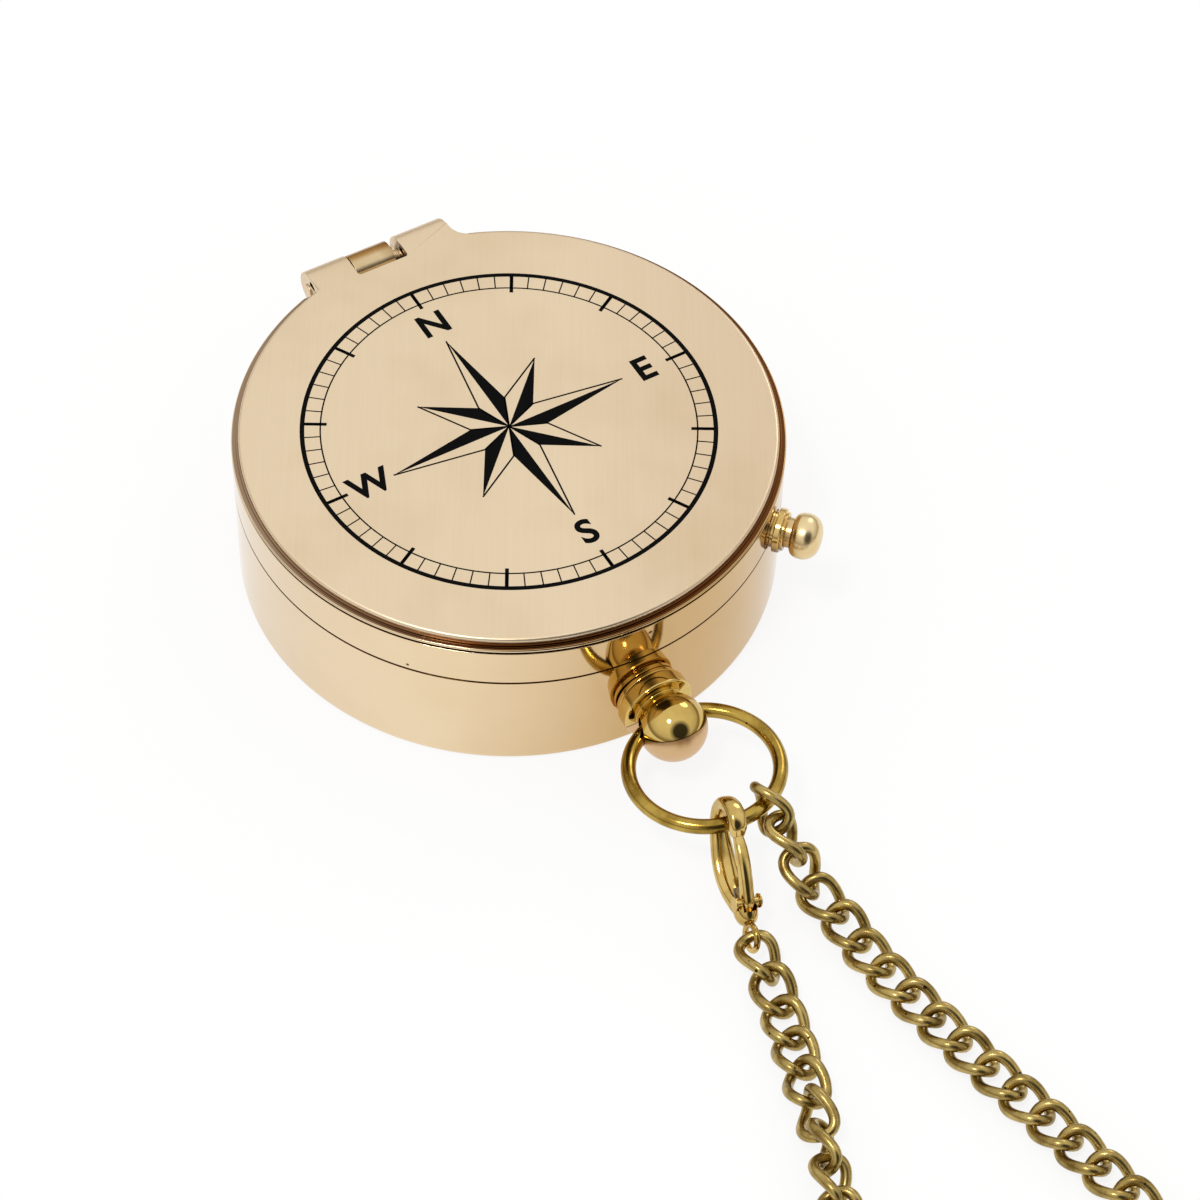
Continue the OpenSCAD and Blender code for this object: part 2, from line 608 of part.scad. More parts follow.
// Clasp in its own frame: hook around the origin, eye out along X, lever on the +Y side
module clasp_outline() difference() {
    hull() {
        circle(clasp_r + clasp_bar_d / 2 - bar_step, $fn = 32);
        translate([clasp_belly_x, -clasp_drop]) circle(clasp_belly_r, $fn = 32);
        translate([clasp_heel_x, -clasp_drop / 2]) circle(clasp_heel_r, $fn = 32);
    }
    hull() {
        circle(hook_bore_d / 2 + bar_step, $fn = 32);
        translate([clasp_gap_x, -clasp_gap_drop]) circle(clasp_gap_r, $fn = 32);
    }
    translate([-clasp_l, -clasp_l]) square([clasp_l, 2 * clasp_l]);
    translate([-clasp_l, -clasp_gap_drop]) square([clasp_l + clasp_cheek_x, clasp_l]);
}
module clasp_side() hull() {
    circle(clasp_bar_d / 2 - bar_step, $fn = 24);
    translate([clasp_belly_x, 0]) circle(clasp_t / 2, $fn = 24);
    translate([clasp_heel_x, 0]) circle(clasp_heel_t / 2, $fn = 24);
    translate([clasp_l - eye_bore_d / 2, 0]) circle(eye_wire_d / 2, $fn = 24);
}
module clasp_body() color(gold) at_clasp() difference() {
    union() {
        intersection() {
            translate([0, 0, -clasp_t]) linear_extrude(2 * clasp_t) clasp_outline();
            rotate([90, 0, 0]) translate([0, 0, -clasp_l]) linear_extrude(2 * clasp_l) clasp_side();
        }
        rotate([0, 0, hook_from]) rotate_extrude(angle = hook_sweep) translate([clasp_r, 0])
            circle(d = clasp_bar_d, $fn = 32);
        translate([clasp_l, 0, 0]) rotate_extrude() translate([eye_bore_d / 2 + eye_wire_d / 2, 0])
            circle(d = eye_wire_d, $fn = 24);
    }
    translate([clasp_belly_x, lever_slot_floor, -lever_t / 2 - lever_slot_gap])
        cube([rivet_x + lever_root_r + part_gap - clasp_belly_x, clasp_l, lever_t + 2 * lever_slot_gap]);
    translate([rivet_x, rivet_y, -clasp_t]) cylinder(h = 2 * clasp_t, d = rivet_d + 2 * run_fit);
}

module clasp_rivet() color(gold) at_clasp() translate([rivet_x, rivet_y, 0]) {
    translate([0, 0, -clasp_t / 2]) cylinder(h = clasp_t, d = rivet_d);
    for (side = [0, 180]) rotate([side, 0, 0])
        translate([0, 0, clasp_t / 2]) cylinder(h = rivet_head_t, d = rivet_head_d);
}

module clasp_spring() color(steel) at_clasp()
    translate([rivet_x + lever_root_r - leaf_l, lever_slot_floor, -lever_t / 2])
        cube([leaf_l, leaf_t, lever_t]);

module clasp_lever() color(gold) at_clasp() difference() {
    translate([0, 0, -lever_t / 2]) linear_extrude(lever_t) hull() {
        translate(lever_tip) circle(lever_tip_r, $fn = 32);
        translate([rivet_x, rivet_y]) circle(lever_root_r, $fn = 32);
    }
    translate([rivet_x, rivet_y, -clasp_t]) cylinder(h = 2 * clasp_t, d = rivet_d + 2 * run_fit);
}

// First links, from the bow ring down to the table
module chain_ring_end() color(olive_brass) for (k = [0 : end_links - 1])
    chain_link(end_point(k), end_point(k + 1), end_rolls[k]);

module chain_near_right() loop_chain(0, near_count);
module chain_right_strand() loop_chain(near_count, strand_count);
module chain_far_right() loop_chain(near_count + strand_count, far_count);
module chain_far_left() loop_chain(near_count + strand_count + far_count, far_count);
module chain_left_strand() loop_chain(near_count + strand_count + 2 * far_count, strand_count);
module chain_near_left() loop_chain(loop_links - near_count, near_count);

echo(least_coil_gap = min(coil_gap(hinge_coil_r, hinge_spring_l),
    coil_gap(button_coil_r, button_spring_l)));

case_body();
hinge_strap();
dial_plate();
chapter_ring();
pivot_pin();
crystal();
bezel_ring();
button_bush();
latch_block();
button_spring();
bow_post();
lid_plate();
lid_ring();
lid_hook();
hinge_pin();
hinge_spring();
needle_blade();
needle_hub();
needle_jewel();
button_knob();
latch_plate();
bow_ring();
clasp_body();
clasp_rivet();
clasp_spring();
clasp_lever();
chain_ring_end();
chain_near_right();
chain_near_left();
chain_right_strand();
chain_far_right();
chain_far_left();
chain_left_strand();
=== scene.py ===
import math

import bmesh
import bpy
import numpy as np
from mathutils import Matrix


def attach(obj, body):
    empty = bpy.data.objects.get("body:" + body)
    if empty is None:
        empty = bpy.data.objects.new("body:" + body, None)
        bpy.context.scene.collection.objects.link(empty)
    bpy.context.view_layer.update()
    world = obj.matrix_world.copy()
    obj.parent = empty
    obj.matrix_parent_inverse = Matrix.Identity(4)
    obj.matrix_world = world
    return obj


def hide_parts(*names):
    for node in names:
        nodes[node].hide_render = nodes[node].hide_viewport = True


# Brass pocket compass with a hinged lid, a push button, a bow ring and a curb chain.
# Sizes are millimetres, brought to metres by mm. Heights and places are those of the CAD model.

mm = 0.001
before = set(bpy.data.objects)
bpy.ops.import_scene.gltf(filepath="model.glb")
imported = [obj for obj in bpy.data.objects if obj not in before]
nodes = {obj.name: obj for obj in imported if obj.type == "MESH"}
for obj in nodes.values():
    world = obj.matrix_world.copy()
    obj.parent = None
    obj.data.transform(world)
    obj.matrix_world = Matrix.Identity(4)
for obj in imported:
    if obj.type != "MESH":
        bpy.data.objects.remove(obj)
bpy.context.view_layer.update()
scene = bpy.context.scene
scene.view_settings.view_transform = "Standard"
print("frame loaded:", len(nodes), "nodes")


# Camera, white ground and light. The mirrored sky is a colour at each height from -1, straight down, to 1.

white = (1, 1, 1)
view = dict(place=(-113.096, -199.897, 281.232), turn=(38.3845, -1.1975, -30.1564), lens=116.773, sensor=36.0,
            near=0.01, far=10)
ground = dict(radius=1500.0, sides=96, drop=0.01, paint=(0.9, 0.9, 0.9), glow=1.0, shadowShare=0.16)
studio = dict(fill=0.9, stops=[(-1.0, (0.82, 0.8, 0.78)), (-0.02, (0.8, 0.78, 0.74)), (0.0, (0.3, 0.26, 0.2)),
                               (0.12, (0.36, 0.32, 0.26)), (0.26, (0.72, 0.69, 0.64)), (0.5, (0.9, 0.89, 0.87)),
                               (0.76, (0.98, 0.98, 0.97)), (1.0, white)],
              patchWay=(-0.028, -0.815, 0.58), patchFrom=0.93, patchTo=0.8, patchShade=0.05)
lamps = dict(
    keyLamp=dict(place=(-170, -90, 430), aim=(0, -10, 8), size=90, power=0.5, tint=(1.0, 0.98, 0.95)),
    rimLamp=dict(place=(330, 160, 260), aim=(0, -20, 8), size=160, power=0.15, tint=(1.0, 0.98, 0.96)),
)


def take(facts, names):  # the values that a function reads from its piece's dictionary
    return [facts[name] for name in names.split()]


def newMesh(name, points, faces):
    mesh = bpy.data.meshes.new(name)
    mesh.from_pydata((np.asarray(points) * mm).tolist(), [], faces)
    return mesh


def newObject(name, data):
    made = bpy.data.objects.new(name, data)
    scene.collection.objects.link(made)
    return made


def nodeTree(owner):
    owner.use_nodes = True
    owner.node_tree.nodes.clear()
    return owner.node_tree


def addNode(tree, kind, inputs=None, **settings):  # inputs: socket name or number to a value or another's output
    made = tree.nodes.new(kind)
    for name, value in settings.items():
        setattr(made, name, value)
    for key, value in (inputs or {}).items():
        socket = made.inputs[key]
        if isinstance(value, bpy.types.NodeSocket):
            tree.links.new(value, socket)
        else:
            socket.default_value = (*value, 1.0) if socket.type == "RGBA" else value
    return made


def mathNode(tree, operation, *values, clamp=False):
    return addNode(tree, "ShaderNodeMath", dict(enumerate(values)), operation=operation, use_clamp=clamp).outputs[0]


def vectorNode(tree, operation, *values):
    made = addNode(tree, "ShaderNodeVectorMath", dict(enumerate(values)), operation=operation)
    return made.outputs["Value" if operation in ("DOT_PRODUCT", "LENGTH") else "Vector"]


def rangeNode(tree, value, fromMin=0.0, fromMax=1.0, toMin=0.0, toMax=1.0):  # linear, held at both ends
    return addNode(tree, "ShaderNodeMapRange", {"Value": value, "From Min": fromMin, "From Max": fromMax,
                                                "To Min": toMin, "To Max": toMax}).outputs[0]


def rampNode(tree, factor, stops):
    made = addNode(tree, "ShaderNodeValToRGB", {0: factor})
    ramp = made.color_ramp
    while len(ramp.elements) < len(stops):
        ramp.elements.new(0.5)
    for element, (place, shade) in zip(ramp.elements, stops):
        element.position, element.color = place, (*shade, 1.0)
    return made.outputs[0]


def mixShader(tree, factor, first, second):
    return addNode(tree, "ShaderNodeMixShader", {0: factor, 1: first, 2: second}).outputs[0]


def background(tree, color, strength):
    return addNode(tree, "ShaderNodeBackground", {"Color": color, "Strength": strength}).outputs[0]


def makeCamera():
    data = bpy.data.cameras.new("camera")
    data.lens, data.sensor_width = view["lens"], view["sensor"]
    data.clip_start, data.clip_end = view["near"], view["far"]
    made = newObject("camera", data)
    made.location = np.array(view["place"]) * mm
    made.rotation_euler = np.radians(view["turn"])
    scene.camera = made


def makeGround():  # a wide disc that glows white to the camera, to gloss and through glass, and keeps a soft shadow
    turn = np.linspace(0, 2 * np.pi, ground["sides"], endpoint=False)
    rim = np.stack([np.cos(turn), np.sin(turn), 0 * turn], 1) * ground["radius"]
    rim[:, 2] = -ground["drop"]
    made = newObject("ground", newMesh("ground", rim, [list(range(len(rim)))]))
    material = bpy.data.materials.new("groundWhite")
    tree = nodeTree(material)
    path = addNode(tree, "ShaderNodeLightPath").outputs
    seen = mathNode(tree, "MAXIMUM", path["Is Camera Ray"], path["Is Glossy Ray"])
    seen = mathNode(tree, "MAXIMUM", seen, path["Is Transmission Ray"])
    share = mathNode(tree, "MULTIPLY", seen, 1 - ground["shadowShare"])
    paint = addNode(tree, "ShaderNodeBsdfDiffuse", {"Color": ground["paint"]})
    glow = addNode(tree, "ShaderNodeEmission", {"Color": white, "Strength": ground["glow"]})
    addNode(tree, "ShaderNodeOutputMaterial", {0: mixShader(tree, share, paint.outputs[0], glow.outputs[0])})
    made.data.materials.append(material)


def makeWorld():  # white to the camera; metal mirrors a bright sky, a dim horizon and one dark patch
    world = bpy.data.worlds.new("studio")
    scene.world = world
    tree = nodeTree(world)
    way = addNode(tree, "ShaderNodeTexCoord").outputs["Generated"]
    height = addNode(tree, "ShaderNodeSeparateXYZ", {0: way}).outputs["Z"]
    height = mathNode(tree, "MULTIPLY_ADD", height, 0.5, 0.5)
    sky = rampNode(tree, height, [(0.5 + 0.5 * place, shade) for place, shade in studio["stops"]])
    toward = vectorNode(tree, "DOT_PRODUCT", way, studio["patchWay"])
    patch = rangeNode(tree, toward, studio["patchTo"], studio["patchFrom"], 1.0, studio["patchShade"])
    path = addNode(tree, "ShaderNodeLightPath").outputs
    lit = mixShader(tree, path["Is Glossy Ray"], background(tree, white, studio["fill"]),
                    background(tree, sky, patch))
    seen = mathNode(tree, "MAXIMUM", path["Is Camera Ray"], path["Is Transmission Ray"])
    addNode(tree, "ShaderNodeOutputWorld", {0: mixShader(tree, seen, lit, background(tree, white, 1.0))})


def makeLamps():
    for name, facts in lamps.items():
        data = bpy.data.lights.new(name, "AREA")
        data.shape, data.size = "DISK", facts["size"] * mm
        data.energy, data.color = facts["power"], facts["tint"]
        made = newObject(name, data)
        place, aim = np.array(facts["place"]) * mm, np.array(facts["aim"]) * mm
        away = place - aim
        made.location = place
        made.rotation_euler = (math.atan2(math.hypot(away[0], away[1]), away[2]), 0,
                               math.atan2(away[1], away[0]) + math.pi / 2)


makeCamera()
makeGround()
makeWorld()
makeLamps()
print("camera, ground and light made")


# Surface effects that several finishes share, as node groups

def makeGroup(name, inputs, build):  # a group that puts out one mask, built from its given sockets
    group = bpy.data.node_groups.new(name, "ShaderNodeTree")
    for label, value in dict(Vector=(0, 0, 0), **inputs).items():
        kind = "NodeSocketVector" if isinstance(value, tuple) else "NodeSocketFloat"
        group.interface.new_socket(label, in_out="INPUT", socket_type=kind).default_value = value
    group.interface.new_socket("Mask", in_out="OUTPUT", socket_type="NodeSocketFloat")
    given = addNode(group, "NodeGroupInput").outputs
    addNode(group, "NodeGroupOutput", {"Mask": build(group, given)})
    return group


def cloudNodes(tree, given):  # noise cut between two levels
    noise = addNode(tree, "ShaderNodeTexNoise", {"Vector": given["Vector"], "Scale": given["Scale"],
                                                 "Detail": 3.0, "Roughness": 0.6})
    return rangeNode(tree, noise.outputs["Fac"], given["From"], given["To"])


def grainNodes(tree, given):  # fine drawn lines: noise stretched along one way, turned about Z
    aligned = addNode(tree, "ShaderNodeMapping", {"Vector": given["Vector"], "Rotation": given["Turn"]},
                      vector_type="TEXTURE")
    stretched = vectorNode(tree, "MULTIPLY", aligned.outputs[0], given["Stretch"])
    return addNode(tree, "ShaderNodeTexNoise", {"Vector": stretched, "Scale": 1.0, "Detail": 2.0,
                                                "Roughness": 0.5}).outputs["Fac"]


def speckNodes(tree, given):  # small dark pits: cells whose centre is near and whose own random value is low
    cells = addNode(tree, "ShaderNodeTexVoronoi", {"Vector": given["Vector"], "Scale": given["Scale"]})
    pick = addNode(tree, "ShaderNodeSeparateColor", {0: cells.outputs["Color"]}).outputs
    chosen = mathNode(tree, "LESS_THAN", pick[0], given["Share"])
    reach = mathNode(tree, "MULTIPLY", given["Size"], pick[1])
    near = mathNode(tree, "LESS_THAN", cells.outputs["Distance"], reach)
    return mathNode(tree, "MULTIPLY", chosen, near)


tarnish = makeGroup("tarnish", dict(Scale=200.0, From=0.4, To=0.7), cloudNodes)
drawnGrain = makeGroup("drawnGrain", dict(Turn=(0.0, 0.0, 0.0), Stretch=(4000.0, 120.0, 4000.0)), grainNodes)
specks = makeGroup("specks", dict(Scale=900.0, Size=0.16, Share=0.12), speckNodes)


def objectPlace(tree):
    return addNode(tree, "ShaderNodeTexCoord").outputs["Object"]


def useGroup(tree, group, **values):
    return addNode(tree, "ShaderNodeGroup", dict(Vector=objectPlace(tree), **values), node_tree=group).outputs["Mask"]


def mixColor(tree, factor, first, second, blend="MIX"):
    return addNode(tree, "ShaderNodeMix", {0: factor, 6: first, 7: second}, data_type="RGBA",
                   blend_type=blend).outputs[2]


def linear(red, green, blue):  # a screen colour from 0 to 255 as the shader's linear colour
    shade = np.array([red, green, blue]) / 255
    return tuple(float(c) for c in np.where(shade < 0.04045, shade / 12.92, ((shade + 0.055) / 1.055) ** 2.4))


def clouded(tree, facts):  # the light colour under clouds of the dark one, and the clouds' mask
    scale, low, high = facts["cloud"]
    mask = useGroup(tree, tarnish, Scale=scale, From=low, To=high)
    return mixColor(tree, mask, linear(*facts["light"]), linear(*facts["dark"])), mask


def planeMask(tree, facts):  # 0 to 1 as the distance from a plane grows over a span, in millimetres
    way = np.array(facts["way"]) / np.linalg.norm(facts["way"])
    level, half = np.dot(way, facts["place"]), facts["span"] / 2
    along = vectorNode(tree, "DOT_PRODUCT", objectPlace(tree), way)
    return rangeNode(tree, along, (level - half) * mm, (level + half) * mm)


def grooveMasks(tree, facts):  # patina and painted shade in the turned grooves, and painted shadow in the seam
    place = objectPlace(tree)
    height = addNode(tree, "ShaderNodeSeparateXYZ", {0: place}).outputs["Z"]
    radius = vectorNode(tree, "LENGTH", vectorNode(tree, "MULTIPLY", place, (1, 1, 0)))
    # the grooves lie inside a radius and above a height
    inside = mathNode(tree, "LESS_THAN", radius, facts["radius"] * mm)
    above = mathNode(tree, "GREATER_THAN", height, facts["above"] * mm)
    # painted shade: the grooves darken more towards the front
    least = facts["least"]
    frontShade = mathNode(tree, "MULTIPLY_ADD", planeMask(tree, facts["paintedShade"]), 1 - least, least)
    # painted shadow in the seam gap between case and lid
    low, high = (limit * mm for limit in facts["seam"])
    seam = mathNode(tree, "MULTIPLY", mathNode(tree, "GREATER_THAN", height, low),
                    mathNode(tree, "LESS_THAN", height, high))
    return mathNode(tree, "MULTIPLY", mathNode(tree, "MULTIPLY", inside, above), frontShade), seam


def metalFinish(name, facts):
    material = bpy.data.materials.new(name)
    tree = nodeTree(material)
    color, cloud = clouded(tree, facts)
    scale, size, share = facts["pits"]
    color = mixColor(tree, useGroup(tree, specks, Scale=scale, Size=size, Share=share), color, linear(*facts["pit"]))
    grain = useGroup(tree, drawnGrain, Turn=(0, 0, math.radians(facts.get("grainTurn", 0))), Stretch=facts["grain"])
    color = mixColor(tree, facts["grainShade"], color, grain, "SOFT_LIGHT")
    for paintedShade in facts.get("paintedShades", ()):  # painted shade: the colour deepens along a direction
        color = mixColor(tree, planeMask(tree, paintedShade), color, linear(*paintedShade["shade"]), "MULTIPLY")
    if "groove" in facts:
        inGroove, inSeam = grooveMasks(tree, facts["groove"])
        # patina in the grooves, deepened by painted shade towards the front
        color = mixColor(tree, inGroove, color, linear(*facts["groove"]["shade"]))
        # painted shadow in the seam
        color = mixColor(tree, inSeam, color, linear(*facts["groove"]["seamShadow"]))
    gloss = mathNode(tree, "ADD", mathNode(tree, "MULTIPLY", grain, 0.5), mathNode(tree, "MULTIPLY", cloud, 0.5))
    roughness = rangeNode(tree, gloss, 0.0, 1.0, *facts["rough"])
    if "side" in facts:  # unpolished beyond a plane, with a dark line along it
        side = facts["side"]
        matt = planeMask(tree, side)
        line = mathNode(tree, "MULTIPLY", matt, mathNode(tree, "SUBTRACT", 1.0, matt))
        color = mixColor(tree, matt, color, linear(*side["shade"]))
        color = mixColor(tree, mathNode(tree, "MULTIPLY", line, side["line"], clamp=True), color,
                         linear(*facts["pit"]))
        roughness = mathNode(tree, "MAXIMUM", roughness, mathNode(tree, "MULTIPLY", matt, side["rough"]))
    strength, depth = facts["bump"]
    bump = addNode(tree, "ShaderNodeBump", {"Strength": strength, "Distance": depth * mm, "Height": grain})
    shader = addNode(tree, "ShaderNodeBsdfPrincipled", {"Metallic": 1.0, "Base Color": color, "Roughness": roughness,
                                                        "Normal": bump.outputs[0]})
    addNode(tree, "ShaderNodeOutputMaterial", {0: shader.outputs[0]})
    return material


def plainFinish(name, facts):  # paint, glass and stone: one colour clouded by a darker one
    material = bpy.data.materials.new(name)
    tree = nodeTree(material)
    color, cloud = clouded(tree, facts)
    shader = addNode(tree, "ShaderNodeBsdfPrincipled", {
        "Metallic": 0.0, "Transmission Weight": facts.get("clear", 0.0), "IOR": facts.get("ior", 1.45),
        "Coat Weight": facts.get("coat", 0.0), "Specular IOR Level": facts.get("gloss", 0.5), "Base Color": color,
        "Roughness": rangeNode(tree, cloud, 0.0, 1.0, *facts["rough"])})
    addNode(tree, "ShaderNodeOutputMaterial", {0: shader.outputs[0]})
    return material


# Colours are from 0 to 255. Cloud: scale per metre, and the noise levels where the dark colour starts and is full.
# Pits: scale, size and share. Grain: stretch along X, Y, Z. Rough: least and most. Bump: strength and depth.

# Painted shades: a plane's way, place and span in millimetres, and the colour of full painted shade beyond it.
fitting = dict(cloud=(260.0, 0.4, 0.75), pit=(80, 50, 18), pits=(1400.0, 0.12, 0.06), grain=(900.0, 3000.0, 900.0),
               grainShade=0.05, rough=(0.04, 0.1), bump=(0.04, 0.01))
metalFacts = dict(
    satinLid=dict(light=(229, 208, 177), dark=(217, 194, 159), cloud=(60.0, 0.45, 0.8), pit=(120, 96, 66),
                  pits=(420.0, 0.10, 0.05), grain=(5000.0, 90.0, 5000.0), grainTurn=-30, grainShade=0.1,
                  rough=(0.3, 0.42), bump=(0.12, 0.01),
                  # painted shade: the lid's right side a little darker
                  paintedShades=[dict(way=(0.864, -0.502, 0), place=(13, -7.5, 16), span=20, shade=(242, 238, 236))]),
    polishedWall=dict(light=(236, 213, 178), dark=(229, 204, 164), cloud=(45.0, 0.4, 0.75), pit=(110, 80, 44),
                      pits=(520.0, 0.12, 0.05), grain=(300.0, 300.0, 6000.0), grainShade=0.04, rough=(0.04, 0.12),
                      bump=(0.02, 0.01),
                      # painted shade and reflection: darker towards the bow post on the right, and slightly darker on
                      # the left
                      paintedShades=[dict(way=(0.864, -0.502, -0.15), place=(3, -2, 8), span=15, shade=(222, 205, 172)),
                             dict(way=(-0.864, 0.502, 0), place=(-15, 9, 8), span=16, shade=(242, 242, 246))],
                      # groove: patina in the turned grooves with painted shade towards the front, and painted shadow in
                      # the seam
                      groove=dict(radius=24.9, above=15.0, least=0.7, shade=(100, 60, 28),
                                  seam=(10.92, 11.19), seamShadow=(96, 62, 18),
                                  paintedShade=dict(way=(0.864, -0.502, 0), place=(-11, 6, 0), span=20))),
    strapBrass=dict(light=(222, 198, 160), dark=(206, 180, 136), cloud=(200.0, 0.4, 0.75), pit=(80, 56, 26),
                    pits=(900.0, 0.14, 0.08), grain=(3000.0, 300.0, 3000.0), grainShade=0.08, rough=(0.14, 0.26),
                    bump=(0.05, 0.01),
                    # painted shade: the outer curve of the barrel browner, and darker towards its right end
                    paintedShades=[dict(way=(0, 1, 1), place=(0, 25.1, 16.1), span=0.4, shade=(206, 176, 124)),
                           dict(way=(1, 0, 1), place=(1.2, 25, 16), span=1.7, shade=(190, 160, 110))]),
    richBrass=dict(fitting, light=(226, 200, 148), dark=(206, 172, 108)),
    knobBrass=dict(fitting, light=(232, 208, 160), dark=(216, 186, 128), pits=(1400.0, 0.12, 0.04),
                   rough=(0.24, 0.3), bump=(0.03, 0.01),
                   # painted shade on the knob's lower, inner side
                   paintedShades=[dict(way=(-0.68, 0.73, -0.6), place=(18.7, -20.1, 10.4), span=1.5, shade=(176, 140, 80))]),
    bushBrass=dict(fitting, light=(226, 196, 132), dark=(196, 158, 84), rough=(0.1, 0.18), bump=(0.03, 0.01),
                   # painted shade on the bush's lower side
                   paintedShades=[dict(way=(-0.3, 0.3, -1), place=(17.6, -18.9, 11.0), span=1.6, shade=(120, 84, 34))]),
    ballBrass=dict(fitting, light=(214, 184, 108), dark=(190, 156, 76),
                   side=dict(way=(0, -0.438, -0.899), place=(0, -28.6, 5.7), span=0.16, shade=(214, 178, 134),
                             rough=0.34, line=3.6)),
    ringBrass=dict(light=(188, 158, 76), dark=(132, 102, 36), cloud=(420.0, 0.35, 0.7), pit=(66, 40, 14),
                   pits=(1600.0, 0.2, 0.1), grain=(2600.0, 2600.0, 2600.0), grainShade=0.1, rough=(0.1, 0.26),
                   bump=(0.08, 0.01)),
    chainBrass=dict(light=(190, 166, 102), dark=(128, 104, 52), cloud=(520.0, 0.35, 0.7), pit=(60, 42, 16),
                    pits=(1500.0, 0.25, 0.16), grain=(2200.0, 2200.0, 2200.0), grainShade=0.12, rough=(0.18, 0.36),
                    bump=(0.12, 0.015)),
    claspBrass=dict(light=(214, 184, 112), dark=(160, 124, 52), cloud=(380.0, 0.4, 0.75), pit=(70, 48, 18),
                    pits=(1500.0, 0.2, 0.1), grain=(2200.0, 2200.0, 2200.0), grainShade=0.08, rough=(0.06, 0.16),
                    bump=(0.05, 0.01)),
    springSteel=dict(light=(186, 188, 190), dark=(140, 142, 146), cloud=(700.0, 0.4, 0.75), pit=(60, 60, 62),
                     pits=(1500.0, 0.1, 0.05), grain=(3000.0, 600.0, 600.0), grainShade=0.08, rough=(0.15, 0.3),
                     bump=(0.05, 0.01)),
)
paint = dict(cloud=(400.0, 0.35, 0.75))
plainFacts = dict(
    engraveBlack=dict(paint, light=(3, 3, 3), dark=(6, 6, 6), rough=(0.8, 0.95), gloss=0.1),
    dialCream=dict(light=(238, 230, 208), dark=(224, 212, 184), cloud=(120.0, 0.35, 0.75), rough=(0.5, 0.65)),
    dialInk=dict(paint, light=(22, 22, 26), dark=(34, 32, 34), rough=(0.5, 0.6)),
    dialRed=dict(paint, light=(170, 30, 24), dark=(140, 22, 20), rough=(0.4, 0.55)),
    needleBlue=dict(paint, light=(24, 34, 66), dark=(14, 18, 38), rough=(0.15, 0.3), coat=0.5),
    needleRed=dict(paint, light=(186, 30, 26), dark=(150, 20, 18), rough=(0.15, 0.3), coat=0.5),
    jewelRed=dict(light=(150, 16, 40), dark=(96, 8, 24), cloud=(900.0, 0.35, 0.75), rough=(0.03, 0.08), coat=0.6),
    crystalGlass=dict(light=(246, 250, 250), dark=(240, 246, 246), cloud=(60.0, 0.35, 0.75), rough=(0.0, 0.015),
                      clear=1.0, ior=1.5),
)
finishes = {name: metalFinish(name, facts) for name, facts in metalFacts.items()}
finishes.update({name: plainFinish(name, facts) for name, facts in plainFacts.items()})
print("finishes made:", len(finishes))


# Surface tools. Each takes or gives arrays of points in millimetres.

def softened(corners, radius, closed=True, steps=5):
    # Each corner gives way to a quadratic curve that starts and ends radius from it, or three tenths of its
    # shorter side if that is less. A point half as far again on each side keeps the flats flat.
    corners = np.asarray(corners, float)
    inner = corners if closed else corners[1:-1]
    before = np.roll(corners, 1, 0) if closed else corners[:-2]
    after = np.roll(corners, -1, 0) if closed else corners[2:]
    reach = np.broadcast_to(np.asarray(radius, float), len(corners))
    reach = reach if closed else reach[1:-1]
    toBefore, toAfter = before - inner, after - inner
    lengthBefore, lengthAfter = np.linalg.norm(toBefore, axis=1), np.linalg.norm(toAfter, axis=1)
    cut = np.minimum(reach, 0.3 * np.minimum(lengthBefore, lengthAfter))
    start = inner + toBefore / lengthBefore[:, None] * cut[:, None]
    end = inner + toAfter / lengthAfter[:, None] * cut[:, None]
    t = np.linspace(0, 1, steps)[None, :, None]
    curve = (1 - t) ** 2 * start[:, None] + 2 * t * (1 - t) * inner[:, None] + t ** 2 * end[:, None]
    far = 1.5 * cut[:, None]
    first = (inner + toBefore / lengthBefore[:, None] * far)[:, None]
    last = (inner + toAfter / lengthAfter[:, None] * far)[:, None]
    rounded = np.concatenate([first, curve, last], 1).reshape(-1, 2)
    return rounded if closed else np.vstack([corners[:1], rounded, corners[-1:]])


def arcPoints(centre, radius, start, end, steps):  # points on a circle from one angle to another, in degrees
    angle = np.radians(np.linspace(start, end, steps))
    return np.asarray(centre) + radius * np.stack([np.cos(angle), np.sin(angle)], 1)


def turned(profile, steps=240):
    # Profile points (radius, height) carried round the Z axis: row by row (r cos a, r sin a, h)
    profile = np.asarray(profile, float)
    angle = np.linspace(0, 2 * np.pi, steps, endpoint=False)
    radius, height = profile[:, :1], profile[:, 1:]
    return np.stack([radius * np.cos(angle), radius * np.sin(angle), height + 0 * angle], -1)


def tube(path, radius, sides=16, closed=False):
    # A circle carried along the path, square to it, with its start side kept from turning.
    # An open tube ends in rows that shrink to the path's end point.
    path = np.asarray(path, float)
    if closed:
        way = np.roll(path, -1, 0) - np.roll(path, 1, 0)
    else:
        way = np.gradient(path, axis=0)
    way /= np.linalg.norm(way, axis=1)[:, None]
    side = np.cross(way, [0.31, 0.17, 0.93])  # a direction that no path here runs along
    side /= np.linalg.norm(side, axis=1)[:, None]
    out = np.cross(side, way)
    angle = np.linspace(0, 2 * np.pi, sides, endpoint=False)[None, :, None]
    rows = path[:, None] + radius * (np.cos(angle) * out[:, None] + np.sin(angle) * side[:, None])
    if closed:
        return rows
    ends = []
    for row, point in ((rows[0], path[0]), (rows[-1], path[-1])):
        cap = [point + (row - point) * math.cos(a) for a in np.radians([30, 60, 80])]
        ends.append(np.stack(cap + [np.repeat(point[None], sides, 0)]))
    return np.concatenate([ends[0][::-1], rows, ends[1]])


